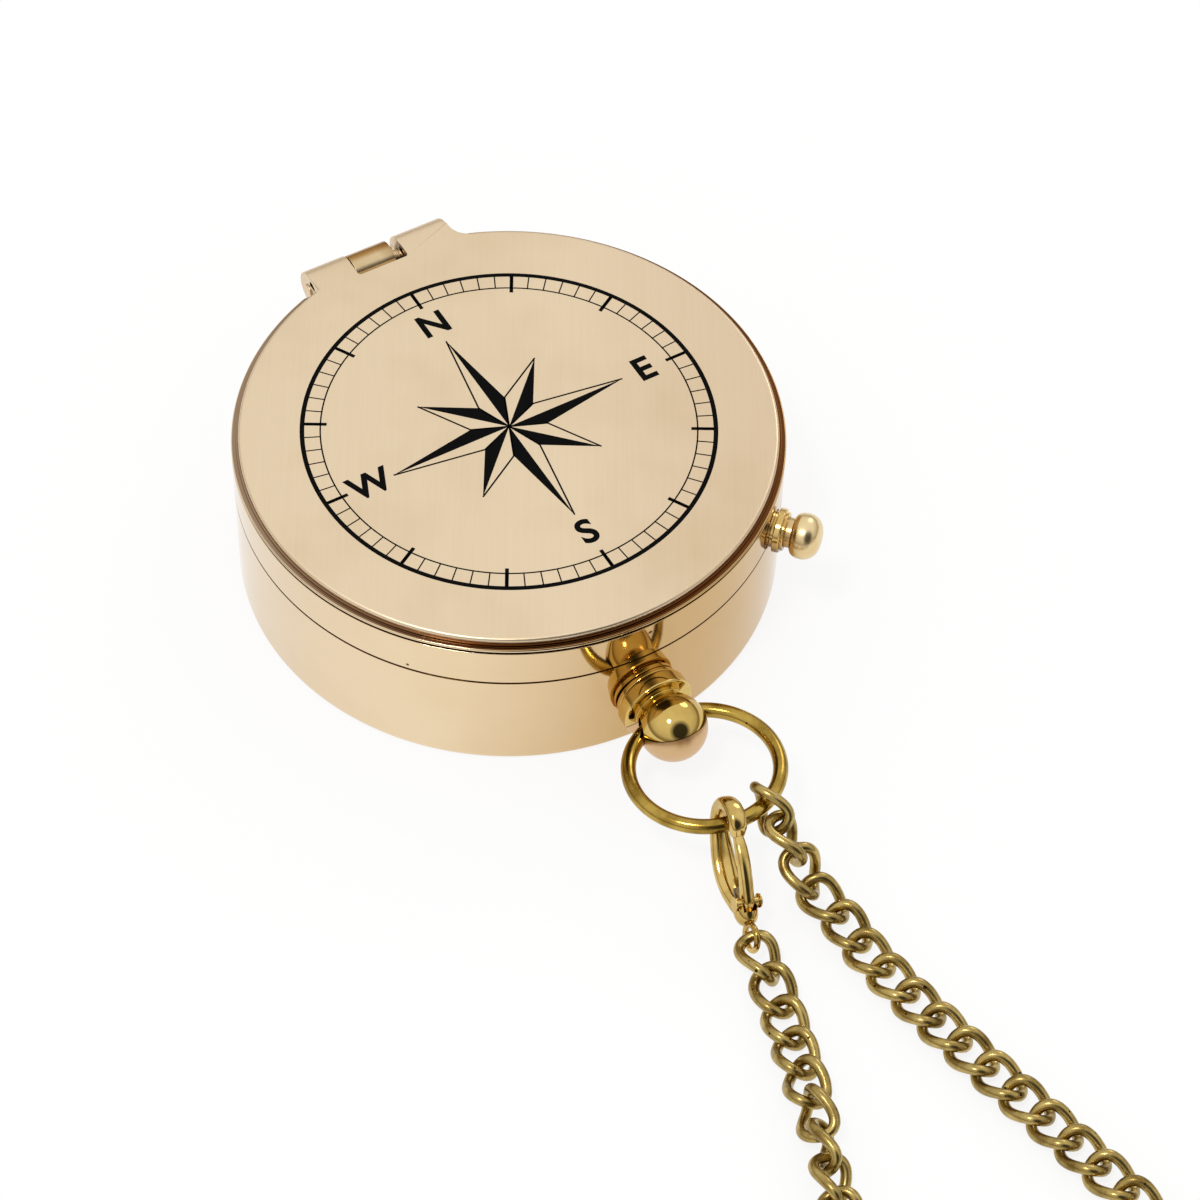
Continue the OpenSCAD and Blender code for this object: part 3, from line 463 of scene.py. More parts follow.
def smoothed(t, given, values):  # a cubic curve through the values, with slopes from their neighbours
    values, given = np.asarray(values, float), np.asarray(given, float)
    slope = np.gradient(values, given)
    i = np.clip(np.searchsorted(given, t) - 1, 0, len(given) - 2)
    step = given[i + 1] - given[i]
    s = (t - given[i]) / step
    return ((2 * s ** 3 - 3 * s ** 2 + 1) * values[i] + (s ** 3 - 2 * s ** 2 + s) * step * slope[i]
            + (3 * s ** 2 - 2 * s ** 3) * values[i + 1] + (s ** 3 - s ** 2) * step * slope[i + 1])


def unit(vector):
    return np.asarray(vector, float) / np.linalg.norm(vector)


def placedAxes(xAxis, zAxis):  # unit axes of a piece's own frame, Y square to both
    zAxis = unit(zAxis)
    xAxis = unit(np.asarray(xAxis, float) - zAxis * np.dot(xAxis, zAxis))
    return xAxis, np.cross(zAxis, xAxis), zAxis


def placed(points, origin=(0, 0, 0), xAxis=(1, 0, 0), zAxis=(0, 0, 1)):  # own frame to the object's frame
    return np.asarray(origin) + points @ np.stack(placedAxes(xAxis, zAxis))


def rotationZ(angle):
    return Matrix.Rotation(math.radians(angle), 4, "Z")


def gridFaces(rows, columns, wrapRows=False):  # quads of a grid whose columns close
    index = np.arange(rows * columns).reshape(rows, columns)
    upper = np.roll(index, -1, 0) if wrapRows else index[1:]
    lower = index if wrapRows else index[:-1]
    return np.stack([lower, np.roll(lower, -1, 1), np.roll(upper, -1, 1), upper], -1).reshape(-1, 4)


def gridMesh(name, grids, wrapRows=False):  # each grid is rows by columns by 3
    points, faces, count = [], [], 0
    for grid in grids:
        rows, columns = grid.shape[:2]
        points.append(grid.reshape(-1, 3))
        faces.append(gridFaces(rows, columns, wrapRows) + count)
        count += rows * columns
    return newMesh(name, np.concatenate(points), np.concatenate(faces).tolist())


def joined(name, meshes):
    work = bmesh.new()
    for mesh in meshes:
        work.from_mesh(mesh)
    result = bpy.data.meshes.new(name)
    work.to_mesh(result)
    work.free()
    return result


def smoothShaded(mesh, sharp):
    mesh.shade_smooth()
    mesh.set_sharp_from_angle(angle=math.radians(sharp))
    return mesh


def cleaned(mesh, merge=0.0005, sharp=50):  # poles closed, faces outwards, smooth but for sharp edges
    work = bmesh.new()
    work.from_mesh(mesh)
    bmesh.ops.remove_doubles(work, verts=work.verts, dist=merge * mm)
    bmesh.ops.dissolve_degenerate(work, edges=work.edges, dist=merge * mm / 10)
    bmesh.ops.recalc_face_normals(work, faces=work.faces)
    work.to_mesh(mesh)
    work.free()
    return smoothShaded(mesh, sharp)


def carved(mesh, cutters, sharp=35):  # the mesh less each closed cutter, with exact solving
    blank = newObject("blank", mesh)
    spare = [newObject("tool", cutter) for cutter in cutters]
    for tool in spare:
        change = blank.modifiers.new("cut", "BOOLEAN")
        change.operation, change.solver, change.object = "DIFFERENCE", "EXACT", tool
    bpy.context.view_layer.update()
    result = bpy.data.meshes.new_from_object(blank.evaluated_get(bpy.context.evaluated_depsgraph_get()))
    result.name = mesh.name
    for extra in (*spare, blank):
        bpy.data.objects.remove(extra)
    return smoothShaded(result, sharp)


def boxMesh(low, high):
    (x0, y0, z0), (x1, y1, z1) = low, high
    corners = [(x, y, z) for z in (z0, z1) for x, y in ((x0, y0), (x1, y0), (x1, y1), (x0, y1))]
    return newMesh("boxTool", corners,
                   [(3, 2, 1, 0), (4, 5, 6, 7), (0, 1, 5, 4), (1, 2, 6, 5), (2, 3, 7, 6), (3, 0, 4, 7)])


def rodMesh(radius, length, place, steps=96):
    profile = [(0, 0), (radius, 0), (radius, length), (0, length)]
    return cleaned(gridMesh("rodTool", [placed(turned(profile, steps), *place)]))


def softEdge(made, width, segments=2):
    edge = made.modifiers.new("softEdge", "BEVEL")
    edge.width, edge.segments = width * mm, segments
    return edge


def addPiece(name, mesh, finish, body, node=None):
    made = newObject(name, mesh)
    mesh.materials.clear()
    mesh.materials.append(finishes[finish])
    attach(made, body)
    if node:
        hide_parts(node)
    return made


def turnedPiece(name, profile, finish, body, node, place=None, closed=True, steps=240, cut=()):
    points = turned(profile, steps)
    if place:
        points = placed(points, *place)
    mesh = cleaned(gridMesh(name, [points], wrapRows=closed))
    return addPiece(name, carved(mesh, cut) if cut else mesh, finish, body, node)


def cadPiece(name, node, finish, body, bevel=0.06):
    # A merged copy of the node, its coplanar triangles joined and its edges rounded
    work = bmesh.new()
    work.from_mesh(nodes[node].data)
    bmesh.ops.remove_doubles(work, verts=work.verts, dist=0.001 * mm)
    bmesh.ops.dissolve_limit(work, angle_limit=math.radians(0.5), verts=work.verts, edges=work.edges)
    mesh = bpy.data.meshes.new(name)
    work.to_mesh(mesh)
    work.free()
    edge = softEdge(addPiece(name, smoothShaded(mesh, 40), finish, body, node), bevel)
    edge.limit_method, edge.angle_limit = "ANGLE", math.radians(35)
    edge.use_clamp_overlap, edge.harden_normals = True, True


# Case: a turned cup

case = dict(radius=25.0, height=11.0, inner=23.8, ledge=22.8, ledgeTop=4.8, floor=1.2, foot=0.5, edge=0.03)


def makeCase():
    r, inner, top, ledge, ledgeTop, floor, foot, edge = take(case, "radius inner height ledge ledgeTop floor foot edge")
    corners = [(0, 0), (r, 0), (r, top), (inner, top), (inner, ledgeTop), (ledge, ledgeTop), (ledge, floor), (0, floor)]
    turnedPiece("caseBody", softened(corners, [0, foot] + [edge] * 5 + [0], closed=False), "polishedWall", "case",
                "case_body", closed=False, steps=360)


makeCase()


# Lid: a skirt with grooves and a bead, a plate with its hinge leaf, and two knuckles

lid = dict(seam=11.12, plate=15.45, top=16.35, plateRadius=24.36, plateEdge=0.3, flatInset=0.42, underInset=0.5,
           leafHalf=7.3, leafFillet=2.0, leafEdge=0.25, leafCorner=1.1, notchCorner=0.25, beadFoot=15.34,
           grooveDeep=0.3, grooveHigh=0.22, beadHigh=0.3, collarRadius=24.56, collarHigh=0.45, seatRadius=22.9,
           seatLow=15.0, seatFoot=14.4, gap=0.15, cutSide=0.1, cutLift=0.001, cutEnd=(8.694, 40, 20),
           edge=0.05)
hinge = dict(y=25.0, z=14.55, radius=1.8, pin=0.6, bore=0.64, notch=(-3.0, 2.1), overhang=0.2, length=14.6,
             pinEdge=0.15, boreEdge=0.1, knuckleEdge=0.12, knuckleEnd=0.5)
hingeAxis = ((0, hinge["y"], hinge["z"]), (0, 1, 0), (1, 0, 0))
button = dict(turn=-47.0, z=11.18, shank=1.7, seat=23.0, gap=0.15, cutLong=10, slotTo=30)
buttonWay = np.array([math.cos(math.radians(button["turn"])), math.sin(math.radians(button["turn"])), 0.0])
buttonAxis = ((0, 0, button["z"]), (0, 0, 1), buttonWay)


def alongButton(distance):  # a point on the button's axis
    return buttonWay * distance + np.array([0, 0, button["z"]])


def lidOutline():
    # The plate's disc, then the leaf: a square shoulder on the left and a hollow fillet on the right.
    # With it goes each point's share of the inset that rounds the plate's edge.
    r, half, fillet, edge, corner, notchCorner = take(
        lid, "plateRadius leafHalf leafFillet leafEdge leafCorner notchCorner")
    filletY = math.sqrt((r + fillet) ** 2 - (half + fillet) ** 2)
    joinAngle = math.degrees(math.atan2(filletY, half + fillet))
    shoulderAngle = math.degrees(math.acos(-half / r))
    disc = arcPoints((0, 0), r, shoulderAngle, joinAngle + 360, steps=300)
    hollow = arcPoints((half + fillet, filletY), fillet, joinAngle + 180, 180, steps=12)
    notchY = hinge["y"] - hinge["radius"] - lid["gap"]
    left, right = hinge["notch"]
    y = hinge["y"]
    square = [(half, y), (right, y), (right, notchY), (left, notchY), (left, y), (-half, y)]
    leaf = softened(np.vstack([hollow[-1:], square, disc[:1]]), [0, corner] + [notchCorner] * 5 + [0], closed=False,
                    steps=6)[1:-1]
    share = np.concatenate([np.ones(len(disc) - 1), np.linspace(1, edge, len(hollow)), np.full(len(leaf), edge)])
    return np.vstack([disc[:-1], hollow, leaf]), share


def plateMesh(name, outline, share, loops):
    # The outline repeated at each (inset, height), drawn in along its own normal by its share of the inset,
    # with a flat face at each end
    ahead, behind = np.roll(outline, -1, 0), np.roll(outline, 1, 0)
    way = ahead - behind
    normal = np.stack([way[:, 1], -way[:, 0]], 1) / np.linalg.norm(way, axis=1)[:, None]
    normal *= np.sign(np.sum(outline[:, 0] * ahead[:, 1] - ahead[:, 0] * outline[:, 1]))
    rows = np.stack([np.column_stack([outline - normal * share[:, None] * inset, np.full(len(outline), height)])
                     for inset, height in loops])
    count, sides = rows.shape[:2]
    index = np.arange(count * sides).reshape(count, sides)
    faces = gridFaces(count, sides).tolist() + [index[0][::-1].tolist(), index[-1].tolist()]
    return cleaned(newMesh(name, rows.reshape(-1, 3), faces), sharp=60)


def makeSkirt():
    r, inner = take(case, "radius inner")
    seam, deep, foot, high, plate, collar, plateRadius = take(
        lid, "seam grooveDeep beadFoot beadHigh plate collarRadius plateRadius")
    seat, seatLow, seatFoot = take(lid, "seatRadius seatLow seatFoot")
    groove, collarTop = foot - lid["grooveHigh"], plate + lid["collarHigh"]
    corners = [(inner, seam), (r, seam), (r, groove), (r - deep, groove), (r - deep, foot), (r - deep / 4, foot),
               (r, foot + high / 3), (r, foot + high * 2 / 3), (r - deep / 4, foot + high), (collar, foot + high),
               (collar, collarTop), (plateRadius, collarTop), (plateRadius, plate), (seat, plate), (seat, seatLow),
               (inner, seatFoot)]
    width = button["shank"] + button["gap"]
    slotBox = boxMesh((button["seat"], -width, 0), (button["slotTo"], width, button["z"]))
    slotBox.transform(rotationZ(button["turn"]))
    half = lid["leafHalf"] + lid["leafFillet"]
    knuckleRoom = rodMesh(hinge["radius"] + lid["gap"], 2 * half,
                          ((-half, hinge["y"], hinge["z"]), (0, 1, 0), (1, 0, 0)))
    leafRoom = boxMesh((-lid["leafHalf"] - lid["cutSide"], 0, plate + lid["cutLift"]), lid["cutEnd"])
    bushRoom = rodMesh(width, button["cutLong"], (alongButton(button["seat"]), (0, 0, 1), buttonWay))
    turnedPiece("lidSkirt", softened(corners, [case["edge"]] * 2 + [lid["edge"]] * 14, steps=4), "polishedWall",
                "lid", "lid_ring", steps=360, cut=[knuckleRoom, leafRoom, bushRoom, slotBox])


def makeLid():
    makeSkirt()
    low, high, under, flat, edge, topEdge = take(lid, "plate top underInset flatInset edge plateEdge")
    loops = [(under, low), (edge, low), (0.0, low + edge), (0.0, low + 2 * edge)]
    loops += [(topEdge * (1 - math.sin(a)), high - topEdge * (1 - math.cos(a)))
              for a in np.radians([90, 75, 60, 45, 30, 15, 0])]
    loops.append((flat, high))
    addPiece("lidTop", plateMesh("lidTop", *lidOutline(), loops), "satinLid", "lid", "lid_plate")
    bore, radius, inside, edge, (left, right) = take(hinge, "bore radius boreEdge knuckleEdge notch")
    for name, start, end, last in (("leftKnuckle", -lid["leafHalf"], left, edge),
                                   ("rightKnuckle", right, lid["leafHalf"], hinge["knuckleEnd"])):
        corners = [(bore, start), (radius, start), (radius, end), (bore, end)]
        turnedPiece(name, softened(corners, [inside, edge, last, inside], steps=7), "satinLid", "lid", None,
                    hingeAxis, steps=96)


makeLid()


# Hinge: strap with the middle knuckle, pin and spring

spring = dict(wire=0.15, pitch=0.75, hingeRadius=0.97, hingeFrom=-1.57, hingeLength=3.57,
              buttonRadius=1.02, buttonFrom=23.6, buttonLength=1.56, steps=28, sides=10)


def addSpring(name, radius, length, place, body, node):
    # A coil (r cos a, r sin a, pitch a / 360), in from its ends by the wire's radius
    turns = (length - 2 * spring["wire"]) / spring["pitch"]
    angle = np.linspace(0, 2 * np.pi * turns, int(turns * spring["steps"]))
    path = np.stack([radius * np.cos(angle), radius * np.sin(angle),
                     spring["wire"] + spring["pitch"] * angle / (2 * np.pi)], 1)
    points = placed(tube(path, spring["wire"], spring["sides"]), *place)
    addPiece(name, cleaned(gridMesh(name, [points])), "springSteel", body, node)


def makeHinge():
    cadPiece("hingeStrap", "hinge_strap", "strapBrass", "case")
    half, pin = hinge["length"] / 2 + hinge["overhang"], hinge["pin"]
    corners = [(0, -half), (pin, -half), (pin, half), (0, half)]
    turnedPiece("hingePin", softened(corners, hinge["pinEdge"], closed=False), "satinLid", "lid", "hinge_pin",
                hingeAxis, closed=False, steps=48)
    addSpring("hingeSpring", spring["hingeRadius"], spring["hingeLength"],
              ((spring["hingeFrom"], hinge["y"], hinge["z"]), (0, 0, -1), (1, 0, 0)), "lid", "hinge_spring")


makeHinge()


# Push button: bush, acorn head on its stem, spring, latch

bush = dict(pocket=23.6, stemBore=0.64, pocketBore=1.435, flangeFrom=25.26, flange=2.05, bossFrom=25.91, boss=1.8,
            end=26.21, groove=0.1, edge=0.06)
knob = dict(inner=19.9, stem=0.6, neckFrom=25.71, neck=1.385, headFrom=26.72, edge=0.05,
            across=(1.385, 1.62, 1.86, 2.03, 2.1, 2.12, 2.08, 1.94, 1.74, 1.42, 1.05, 0.6, 0.0),
            along=(0.0, 0.08, 0.25, 0.53, 0.85, 1.2, 1.53, 1.88, 2.15, 2.43, 2.59, 2.68, 2.71))


def makeButton():
    g, f, b, bore, wide, flange, boss, end, pocket = take(
        bush, "groove flange boss stemBore pocketBore flangeFrom bossFrom end pocket")
    seat, shank = take(button, "seat shank")
    corners = [(bore, seat), (shank, seat), (shank, flange), (f, flange), (f, boss - g), (f - g, boss), (b - g, boss),
               (b - g, boss + g), (b, boss + g), (b, end - g), (b - g, end), (wide, end), (wide, pocket),
               (bore, pocket)]
    turnedPiece("buttonBush", softened(corners, bush["edge"]), "bushBrass", "case", "button_bush",
                buttonAxis, steps=96)
    inner, stem, neckFrom, neck, head, edge, across, along = take(
        knob, "inner stem neckFrom neck headFrom edge across along")
    fine, given = np.linspace(0, 1, 60), np.linspace(0, 1, len(across))
    dome = np.stack([smoothed(fine, given, across), head + smoothed(fine, given, along)], 1)
    shaft = [(0, inner), (stem, inner), (stem, neckFrom), (neck, neckFrom), (neck, head - edge), dome[0]]
    profile = np.vstack([softened(shaft, edge, closed=False)[:-1], dome])
    turnedPiece("buttonKnob", profile, "knobBrass", "button", "button_knob", buttonAxis, closed=False,
                steps=96)
    addSpring("buttonSpring", spring["buttonRadius"], spring["buttonLength"],
              (alongButton(spring["buttonFrom"]), (0, 0, 1), buttonWay), "case", "button_spring")
    cadPiece("latchBlock", "latch_block", "richBrass", "case")
    cadPiece("latchPlate", "latch_plate", "springSteel", "button")
    cadPiece("lidHook", "lid_hook", "richBrass", "lid")


makeButton()
print("case, lid, hinge and button made")


# Bow post with its ball, and the bow ring

post = dict(z=5.7, wall=25.0, shank=1.4, shankLong=1.2, flange=3.1, flangeTo=0.45, groove=2.8, disc=3.4,
            discFrom=0.65, discTo=2.1, neck=2.3, ballOut=4.5, ball=3.1, boreY=-28.6, bore=1.2, boreLong=12,
            edge=0.08, discEdge=0.2)
bow = dict(centre=(0, -34.8427, 6.05346), radius=6.65, wire=0.68, tilt=-4.8, rings=160, sides=28)


def makePost():
    shank, flange, groove, disc, one, two, three, inside = take(
        post, "shank flange groove disc flangeTo discFrom discTo shankLong")
    neck, ball, out, edge, discEdge, z, boreLong = take(post, "neck ball ballOut edge discEdge z boreLong")
    corners = [(0, -inside), (shank, -inside), (shank, 0), (flange, 0), (flange, one), (groove, one), (groove, two),
               (disc, two), (disc, three), (neck, three), (neck, out - math.sqrt(ball ** 2 - neck ** 2))]
    edges = [edge] * 7 + [discEdge] * 2 + [edge] * 2
    sphere = arcPoints((0, out), ball, -math.degrees(math.acos(neck / ball)), 90, steps=60)
    sphere[-1, 0] = 0
    bore = rodMesh(post["bore"], boreLong, ((-boreLong / 2, post["boreY"], z), (0, 1, 0), (1, 0, 0)))
    turnedPiece("bowPost", np.vstack([softened(corners, edges, closed=False)[:-1], sphere]), "ballBrass", "case",
                "bow_post", ((0, -post["wall"], z), (1, 0, 0), (0, -1, 0)), closed=False, steps=160,
                cut=[bore])
    centre, radius, wire, rings, sides = take(bow, "centre radius wire rings sides")
    angle, tilt = np.linspace(0, 2 * np.pi, rings, endpoint=False), math.radians(bow["tilt"])
    circle = radius * np.stack([np.cos(angle), np.sin(angle) * math.cos(tilt), np.sin(angle) * math.sin(tilt)], 1)
    points = tube(circle + np.array(centre), wire, sides, closed=True)
    addPiece("bowRing", cleaned(gridMesh("bowRing", [points], wrapRows=True)), "ringBrass", "ring", "bow_ring")


makePost()


# Curb chain: links along a route, each a twisted loop of wire

chain = dict(wire=0.49, pitch=3.2, length=4.4, width=3.2, rise=2 / 3, loopLong=74.0, loopWide=20.0, loopLean=3.3,
             tableGap=0.02, hangFrom=2.478, endTurns=(1.3, 4, 6.4, 15.9), endDips=(13, 28.7, 44.3, 14.3),
             endRolls=(-103, -52.4, -17, -4.8), tailRolls=(205, 180, 180, 180, 165, 130, 85, 45, 15),
             endGrip=0.336, eyeGrip=0.172, claspX=-1.52, claspTurn=17.0, claspDip=27.3, claspLong=10.0,
             rings=56, sides=14)
chainPieces = [("chainNearRight", "chain_near_right", 0, 3, "chain_front"),
               ("chainRightStrand", "chain_right_strand", 3, 10, "chain_loop"),
               ("chainFarRight", "chain_far_right", 13, 13, "chain_loop"),
               ("chainFarLeft", "chain_far_left", 26, 13, "chain_loop"),
               ("chainLeftStrand", "chain_left_strand", 39, 10, "chain_loop"),
               ("chainNearLeft", "chain_near_left", 49, 3, "chain_front")]


def heading(turn, dip):
    turn, dip = math.radians(turn), math.radians(dip)
    return np.array([math.sin(turn) * math.cos(dip), -math.cos(turn) * math.cos(dip), -math.sin(dip)])


claspWay = heading(-chain["claspTurn"], chain["claspDip"])


def bowPoint(x):  # the outer point of the bow ring's centre line at x
    out, tilt = math.sqrt(bow["radius"] ** 2 - x * x), math.radians(bow["tilt"])
    return np.array([x, bow["centre"][1] - out * math.cos(tilt), bow["centre"][2] - out * math.sin(tilt)])


def linkBetween(start, end, roll):
    # A closed wire whose centre is (l/2 cos t, w/2 sin t, -rise sin 2t), with its long way from one point
    # to the other and rolled about it
    t = np.linspace(0, 2 * np.pi, chain["rings"], endpoint=False)
    line = np.stack([chain["length"] / 2 * np.cos(t), chain["width"] / 2 * np.sin(t),
                     -chain["rise"] * np.sin(2 * t)], 1)
    x = unit(end - start)
    side = unit(np.cross([0, 0, 1], x))
    up = np.cross(x, side)
    roll = math.radians(roll)
    y, z = math.cos(roll) * side + math.sin(roll) * up, math.cos(roll) * up - math.sin(roll) * side
    return tube(line @ np.stack([x, y, z]) + (start + end) / 2, chain["wire"], chain["sides"], closed=True)


def linkHeight(roll):  # the middle of a rolled link above the table
    t, roll = np.radians(np.arange(0, 360, 5)), math.radians(roll)
    return chain["tableGap"] + chain["wire"] + np.max(
        chain["width"] / 2 * np.sin(t) * math.sin(roll) - chain["rise"] * np.sin(2 * t) * math.cos(roll))


def loopJoints(loopFrom, loopTo):  # the joints between the loop's links, and each link's roll
    # A pear-shaped curve from one point to the other, (half cos(t/2) + wide sin t sin^2(t/2) + lean a, -long a)
    # with a = (1 - cos t)/2, shared out evenly. Each joint is as high as the higher of its two links.
    apart = (loopFrom - loopTo)[:2]
    half, across, middle = np.linalg.norm(apart) / 2, apart / np.linalg.norm(apart), (loopFrom + loopTo)[:2] / 2
    t = np.linspace(0, 2 * np.pi, 721)
    away = (1 - np.cos(t)) / 2
    x = half * np.cos(t / 2) + chain["loopWide"] * np.sin(t) * np.sin(t / 2) ** 2 + chain["loopLean"] * away
    y = -chain["loopLong"] * away
    route = middle + np.stack([x * across[0] - y * across[1], x * across[1] + y * across[0]], 1)
    gone = np.concatenate([[0], np.cumsum(np.linalg.norm(np.diff(route, axis=0), axis=1))])
    count = 2 * round(gone[-1] / chain["pitch"] / 2)
    rolls = np.zeros(count)
    rolls[::-1][:len(chain["tailRolls"])] = chain["tailRolls"]
    at = np.linspace(0, gone[-1], count + 1)
    flat = np.stack([np.interp(at, gone, route[:, k]) for k in (0, 1)], 1)
    high = np.array([linkHeight(roll) for roll in rolls])
    z = np.concatenate([[loopFrom[2]], np.maximum(high[:-1], high[1:]), [loopTo[2]]])
    return np.column_stack([flat, z]), rolls


def addLinks(name, node, joints, rolls, body):
    links = [linkBetween(start, end, roll) for start, end, roll in zip(joints, joints[1:], rolls)]
    addPiece(name, cleaned(gridMesh(name, links, wrapRows=True)), "chainBrass", body, node)


def makeChain():
    pitch, turns, dips = take(chain, "pitch endTurns endDips")
    ends = [bowPoint(chain["hangFrom"]) - chain["endGrip"] * pitch * heading(turns[0], dips[0])]
    for turn, dip in zip(turns, dips):
        ends.append(ends[-1] + pitch * heading(turn, dip))
    eye = bowPoint(chain["claspX"]) + chain["claspLong"] * claspWay
    joints, rolls = loopJoints(ends[-1], eye + chain["eyeGrip"] * pitch * heading(-chain["claspTurn"], 0))
    addLinks("chainRingEnd", "chain_ring_end", ends, chain["endRolls"], "clasp")
    for name, node, first, count, body in chainPieces:
        addLinks(name, node, joints[first:first + count + 1], rolls[first:first + count], body)


makeChain()


# Clasp in its own frame: hook round the origin, eye out along X, lever on the +Y side, rivet along Z.
# Each sweep is knots of (x, y, half width in the plane, half thickness across it).

clasp = dict(
    lean=15.0, eye=1.13, eyeWire=0.28, slotFrom=4.6, slotTo=7.9, slotHalf=0.63, slotFloor=-0.6, slotTop=4,
    heel=(7.6, -0.08, 0), heelSize=(1.24, 1.05, 1.4), heelPower=0.8,
    hook=[(1.1, 1.46, 0.5, 0.66), (0.6, 1.74, 0.62, 0.8), (0.0, 1.84, 0.66, 0.84), (-0.95, 1.55, 0.66, 0.84),
          (-1.6, 0.84, 0.64, 0.82), (-1.8, 0.0, 0.63, 0.78), (-1.56, -0.92, 0.62, 0.74), (-0.8, -1.68, 0.62, 0.74),
          (0.3, -2.08, 0.62, 0.84), (1.7, -2.28, 0.6, 1.0), (3.2, -2.34, 0.58, 1.12), (4.6, -2.14, 0.58, 1.16),
          (5.8, -1.66, 0.6, 1.12), (6.9, -0.98, 0.64, 1.0), (7.9, -0.4, 0.6, 0.74), (8.7, -0.1, 0.36, 0.4)],
    lever=[(1.6, 1.42, 0.42, 0.46), (2.4, 1.48, 0.48, 0.54), (3.4, 1.46, 0.52, 0.57), (4.8, 1.24, 0.58, 0.58),
           (6.0, 0.88, 0.68, 0.58), (7.0, 0.52, 0.74, 0.57), (7.55, 0.36, 0.5, 0.5)])


def sweepMesh(name, knots, rows, sides=28, power=2.6):
    # A rounded section carried along a curve in the plane, (a c^(2/p), b s^(2/p)), with domed ends
    knots = np.array(knots)
    given = np.concatenate([[0], np.cumsum(np.linalg.norm(np.diff(knots[:, :2], axis=0), axis=1))])
    t = np.linspace(0, given[-1], rows)
    x, y, across, thick = (smoothed(t, given, knots[:, k]) for k in range(4))
    path = np.stack([x, y, 0 * x], 1)
    way = np.gradient(path, axis=0)
    way /= np.linalg.norm(way, axis=1)[:, None]
    out = np.stack([-way[:, 1], way[:, 0], 0 * x], 1)
    angle = np.linspace(0, 2 * np.pi, sides, endpoint=False)
    c, s = (np.sign(v) * np.abs(v) ** (2 / power) for v in (np.cos(angle), np.sin(angle)))
    grid = path[:, None] + (across[:, None] * c)[..., None] * out[:, None] \
        + (thick[:, None] * s)[..., None] * np.array([0, 0, 1])
    ends = []
    for row, point, step in ((grid[0], path[0], -way[0] * across[0]), (grid[-1], path[-1], way[-1] * across[-1])):
        ends.append(np.stack([point + (row - point) * math.cos(a) + step * math.sin(a)
                              for a in np.radians([20, 40, 60, 75, 90])]))
    return cleaned(gridMesh(name, [np.concatenate([ends[0][::-1], grid, ends[1]])]))


def makeClasp():
    side = unit(np.cross([0, 0, 1], claspWay))
    lean = math.radians(clasp["lean"])
    rivetWay = math.sin(lean) * np.cross(claspWay, side) - math.cos(lean) * side
    turn = Matrix(np.stack(placedAxes(claspWay, rivetWay), 1).tolist()).to_4x4()
    turn.translation = bowPoint(chain["claspX"]) * mm
    angle = np.linspace(0, np.pi, 25)
    heel = turned(np.stack([np.sin(angle) ** clasp["heelPower"], np.cos(angle)], 1), steps=48) * clasp["heelSize"]
    heel = placed(heel, clasp["heel"], (0, 1, 0), (1, 0, 0))
    start, end, floor, top, half = take(clasp, "slotFrom slotTo slotFloor slotTop slotHalf")
    slot = boxMesh((start, floor, -half), (end, top, half))
    eye = turned(arcPoints((clasp["eye"], 0), clasp["eyeWire"], 0, 345, steps=24), steps=72)
    eye = eye + [chain["claspLong"], 0, 0]
    heel = carved(cleaned(gridMesh("claspHeel", [heel])), [slot])
    body = joined("claspBody", [sweepMesh("claspHook", clasp["hook"], 90), heel,
                                cleaned(gridMesh("claspEye", [eye], wrapRows=True))])
    lever = sweepMesh("claspLever", clasp["lever"], 60)
    for mesh in (body, lever):
        mesh.transform(turn)
    addPiece("claspBody", smoothShaded(body, 40), "claspBrass", "clasp", "clasp_body")
    addPiece("claspLever", lever, "claspBrass", "lever", "clasp_lever")
    cadPiece("claspRivet", "clasp_rivet", "claspBrass", "clasp", bevel=0.04)
    cadPiece("claspSpring", "clasp_spring", "springSteel", "clasp", bevel=0.02)


makeClasp()
print("post, bow, clasp and chain made")


# Under the lid: dial, chapter ring, crystal, bezel and needle

mainWays, minorWays, halfPoint = (0, 90, 180, 270), (45, 135, 225, 315), 22.5
dial = dict(bottom=4.8, top=5.3, radius=23.75, hole=0.6, edge=0.05, ink=0.02, scale=20.6, scaleWide=0.15, tick=1.2,
            tickWide=0.12, mainTick=2.0, mainTickWide=0.2, tip=12.6, minorTip=9.5, waist=3.2, figure=1.7,
            figureAt=17.4, letter=3.4, letterAt=15.2, letterBold=0.06, chapterTop=7.8, chapterWide=2.4,
            chapterEdge=0.08, glassTop=8.8, glassEdge=0.1, bezelTop=9.4, bezelWide=1.6, bezelStep=0.2, bezelEdge=0.06)
needle = dict(z=6.7, long=34.0, wide=3.4, thick=0.3, hub=1.5, rim=0.2, edge=0.05)


def flatPrisms(name, outlines, bottom, top):  # closed upright prisms on flat outlines
    points, faces = [], []
    for outline in outlines:
        outline = np.asarray(outline, float)
        ahead = np.roll(outline, -1, 0)
        if np.sum(outline[:, 0] * ahead[:, 1] - ahead[:, 0] * outline[:, 1]) < 0:
            outline = outline[::-1]
        count, first = len(outline), len(points)
        low, high = range(first, first + count), range(first + count, first + 2 * count)
        points += [(x, y, bottom) for x, y in outline] + [(x, y, top) for x, y in outline]
        faces += [tuple(reversed(low)), tuple(high)]
        faces += [(low[i], low[(i + 1) % count], high[(i + 1) % count], high[i]) for i in range(count)]
    return newMesh(name, points, faces)


def ringMesh(name, inner, outer, bottom, top, steps=360):
    corners = [(inner, bottom), (outer, bottom), (outer, top), (inner, top)]
    return cleaned(gridMesh(name, [turned(corners, steps)], wrapRows=True), sharp=30)


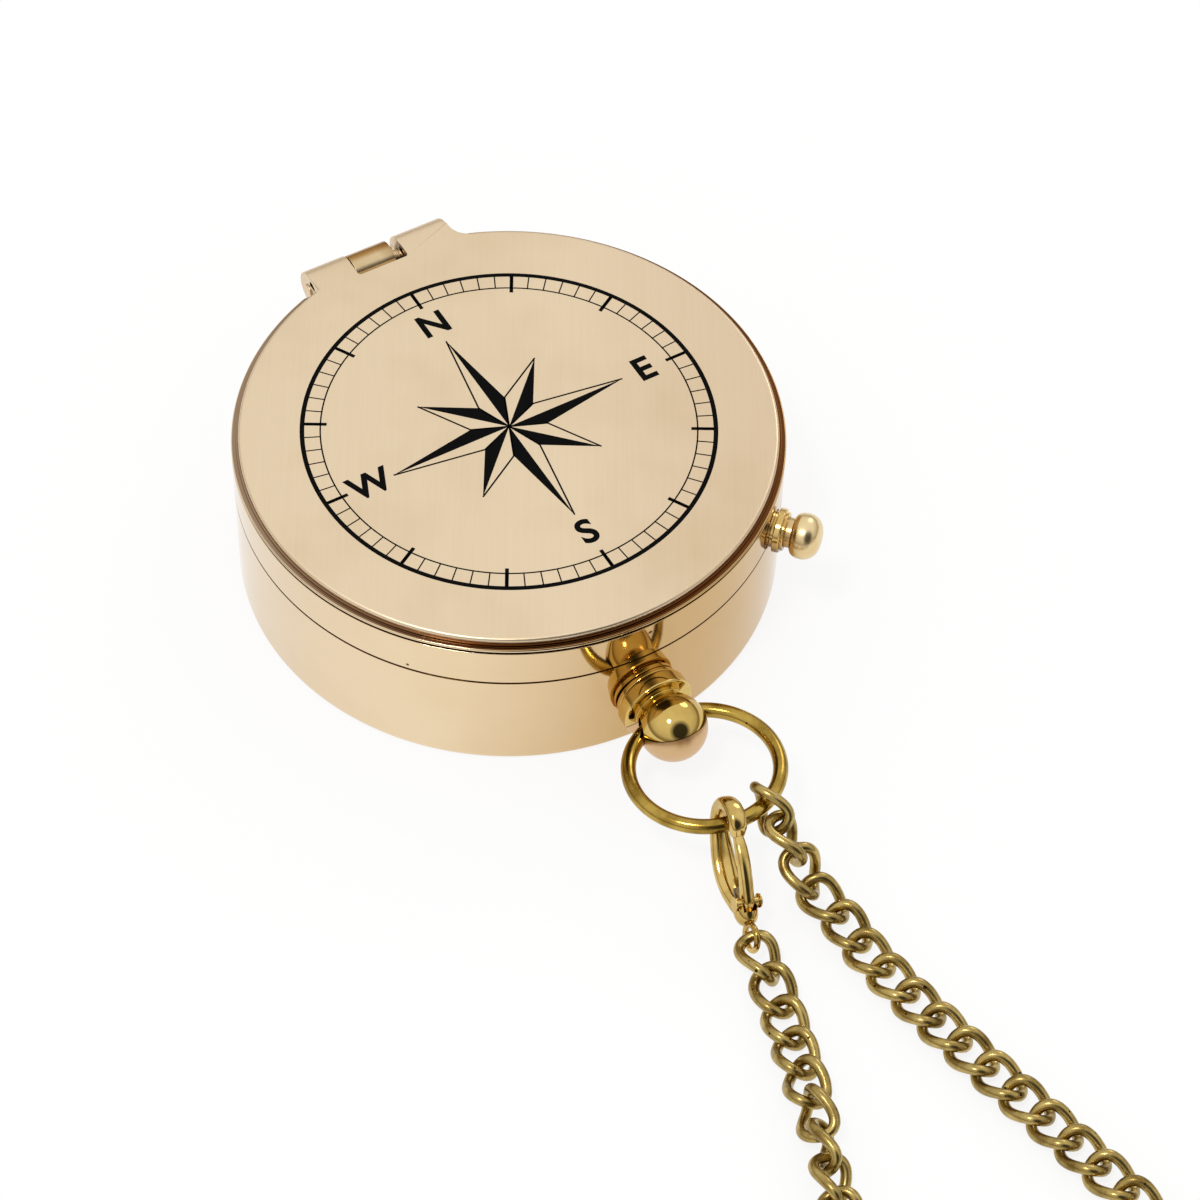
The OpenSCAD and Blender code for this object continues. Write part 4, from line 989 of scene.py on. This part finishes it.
def polar(radius, bearing):  # bearing in degrees, clockwise from +Y
    angle = np.radians(bearing)
    return np.array([radius * math.sin(angle), radius * math.cos(angle)])


def ticks(inner, outer, width, step):  # bars between two radii, all round
    bars = []
    for bearing in range(0, 360, step):
        along, across = polar(1, bearing), polar(1, bearing + 90) * width / 2
        bars.append([along * inner - across, along * outer - across, along * outer + across, along * inner + across])
    return bars


def letterMesh(text, size, place, turn, bottom, top, thicken=0.0):
    # A letter centred on its place, turned clockwise by turn degrees, as a solid between two heights
    curve = bpy.data.curves.new("letter", "FONT")
    curve.body, curve.size, curve.align_x, curve.align_y = text, size * mm, "CENTER", "CENTER"
    curve.extrude, curve.offset = (top - bottom) / 2 * mm, thicken * mm
    holder = newObject("letter", curve)
    bpy.context.view_layer.update()
    mesh = bpy.data.meshes.new_from_object(holder.evaluated_get(bpy.context.evaluated_depsgraph_get()))
    bpy.data.objects.remove(holder)
    mesh.transform(rotationZ(-turn))
    mesh.transform(Matrix.Translation((place[0] * mm, place[1] * mm, (bottom + top) / 2 * mm)))
    return mesh


def starHalves(tip, waist, bearings, side):  # half of each point of a compass star, on one side of its spine
    return [[(0, 0), polar(tip, bearing), polar(waist, bearing + side * halfPoint)] for bearing in bearings]


def starLines(tip, waist, bearings, side, line):  # the open half of each point, drawn as a thin outline
    bars = []
    for bearing in bearings:
        ends = polar(tip, bearing), polar(waist, bearing + side * halfPoint)
        for start, end in ((ends[0], ends[1]), (ends[1], np.zeros(2))):
            along = unit(end - start)
            across = np.array([-along[1], along[0]]) * line / 2
            bars.append([start - across, end - across, end + across, start + across])
    return bars


def makeMarks():
    low, high, scale, waist = dial["top"] - dial["ink"], dial["top"] + dial["ink"], dial["scale"], dial["waist"]

    def letters(text, bearings):
        return [letterMesh(letter, dial["letter"], polar(dial["letterAt"], bearing), bearing, low, high,
                           dial["letterBold"]) for letter, bearing in zip(text, bearings)]

    marks = ticks(scale - dial["tick"], scale, dial["tickWide"], 5)
    marks += ticks(scale - dial["mainTick"], scale, dial["mainTickWide"], 30)
    stars = starHalves(dial["minorTip"], waist, minorWays, -1) + starHalves(dial["tip"], waist, mainWays[1:], -1)
    parts = [flatPrisms("bars", marks, low, high), ringMesh("scale", scale, scale + dial["scaleWide"], low, high),
             flatPrisms("star", stars, low, high)]
    parts += [letterMesh(str(bearing), dial["figure"], polar(dial["figureAt"], bearing), bearing, low, high)
              for bearing in range(30, 360, 30) if bearing % 90]
    addPiece("dialMarks", joined("dialMarks", parts + letters("ESW", mainWays[1:])), "dialInk", "case")
    north = letters("N", mainWays) + [flatPrisms("star", starHalves(dial["tip"], waist, mainWays[:1], -1), low, high)]
    addPiece("dialNorth", joined("dialNorth", north), "dialRed", "case")


def makeDial():
    hole, radius, bottom, top, glassLow, glassTop, bezelTop = take(
        dial, "hole radius bottom top chapterTop glassTop bezelTop")
    corners = [(hole, bottom), (radius, bottom), (radius, top), (hole, top)]
    turnedPiece("dialPlate", softened(corners, dial["edge"]), "dialCream", "case", "dial_plate")
    makeMarks()
    wide = dial["chapterWide"]
    corners = [(radius, top), (radius, glassLow), (radius - wide / 2, glassLow), (radius - wide, top)]
    turnedPiece("chapterRing", softened(corners, dial["chapterEdge"]), "claspBrass", "case", "chapter_ring")
    corners = [(0, glassLow), (radius, glassLow), (radius, glassTop), (0, glassTop)]
    turnedPiece("crystal", softened(corners, dial["glassEdge"], closed=False), "crystalGlass", "case", "crystal",
                closed=False)
    wide = dial["bezelWide"]
    corners = [(radius, glassTop), (radius, bezelTop), (radius - wide / 2, bezelTop),
               (radius - wide, glassTop + dial["bezelStep"]), (radius - wide, glassTop)]
    turnedPiece("bezelRing", softened(corners, dial["bezelEdge"]), "polishedWall", "case", "bezel_ring")


def makeNeedle():
    z, half, wide, hole = needle["z"], needle["long"] / 2, needle["wide"] / 2, needle["hub"] - needle["rim"]
    root = wide * (1 - hole / half)
    for name, sign, finish in (("needleNorth", 1, "needleRed"), ("needleSouth", -1, "needleBlue")):
        # Half of the lozenge outside the hub's hole
        arc = arcPoints((0, 0), hole, 180, 0, steps=13) * [1, sign]
        outline = np.vstack([arc, [(root, 0)], [(0, sign * half)], [(-root, 0)]])
        softEdge(addPiece(name, flatPrisms(name, [outline], z, z + needle["thick"]), finish, "needle", "needle_blade"), needle["edge"])
    cadPiece("needleHub", "needle_hub", "richBrass", "needle", bevel=0.03)
    cadPiece("needleJewel", "needle_jewel", "jewelRed", "needle", bevel=0.03)
    cadPiece("pivotPin", "pivot_pin", "springSteel", "case", bevel=0.02)


makeDial()
makeNeedle()
print("dial and needle made")


# Black filled engraving on the lid: a plain compass rose

rose = dict(deep=0.03, proud=0.008, ring=18.4, ringWide=0.42, inner=16.9, innerWide=0.14, tickWide=0.12, tip=11.8,
            mainTick=0.5, mainTickWide=0.34, waist=3.5, minorTip=8.6, letter=3.7, letterAt=14.1, letterBold=0.1,
            line=0.16)


def makeRose():
    low, high = lid["top"] - rose["deep"], lid["top"] + rose["proud"]
    inner, ring, tip, minorTip, waist, line = take(rose, "inner ring tip minorTip waist line")
    flats = starHalves(tip, waist, mainWays, 1) + starHalves(minorTip, waist, minorWays, 1)
    flats += starLines(tip, waist, mainWays, -1, line) + starLines(minorTip, waist, minorWays, -1, line)
    flats += ticks(inner, ring, rose["tickWide"], 5)
    flats += ticks(inner - rose["mainTick"], ring, rose["mainTickWide"], 30)
    parts = [flatPrisms("flats", flats, low, high), ringMesh("outer", ring, ring + rose["ringWide"], low, high),
             ringMesh("inner", inner, inner + rose["innerWide"], low, high)]
    parts += [letterMesh(letter, rose["letter"], polar(rose["letterAt"], bearing), 0, low, high, rose["letterBold"])
              for letter, bearing in zip("NESW", mainWays)]
    addPiece("lidRose", joined("lidRose", parts), "engraveBlack", "lid")


makeRose()
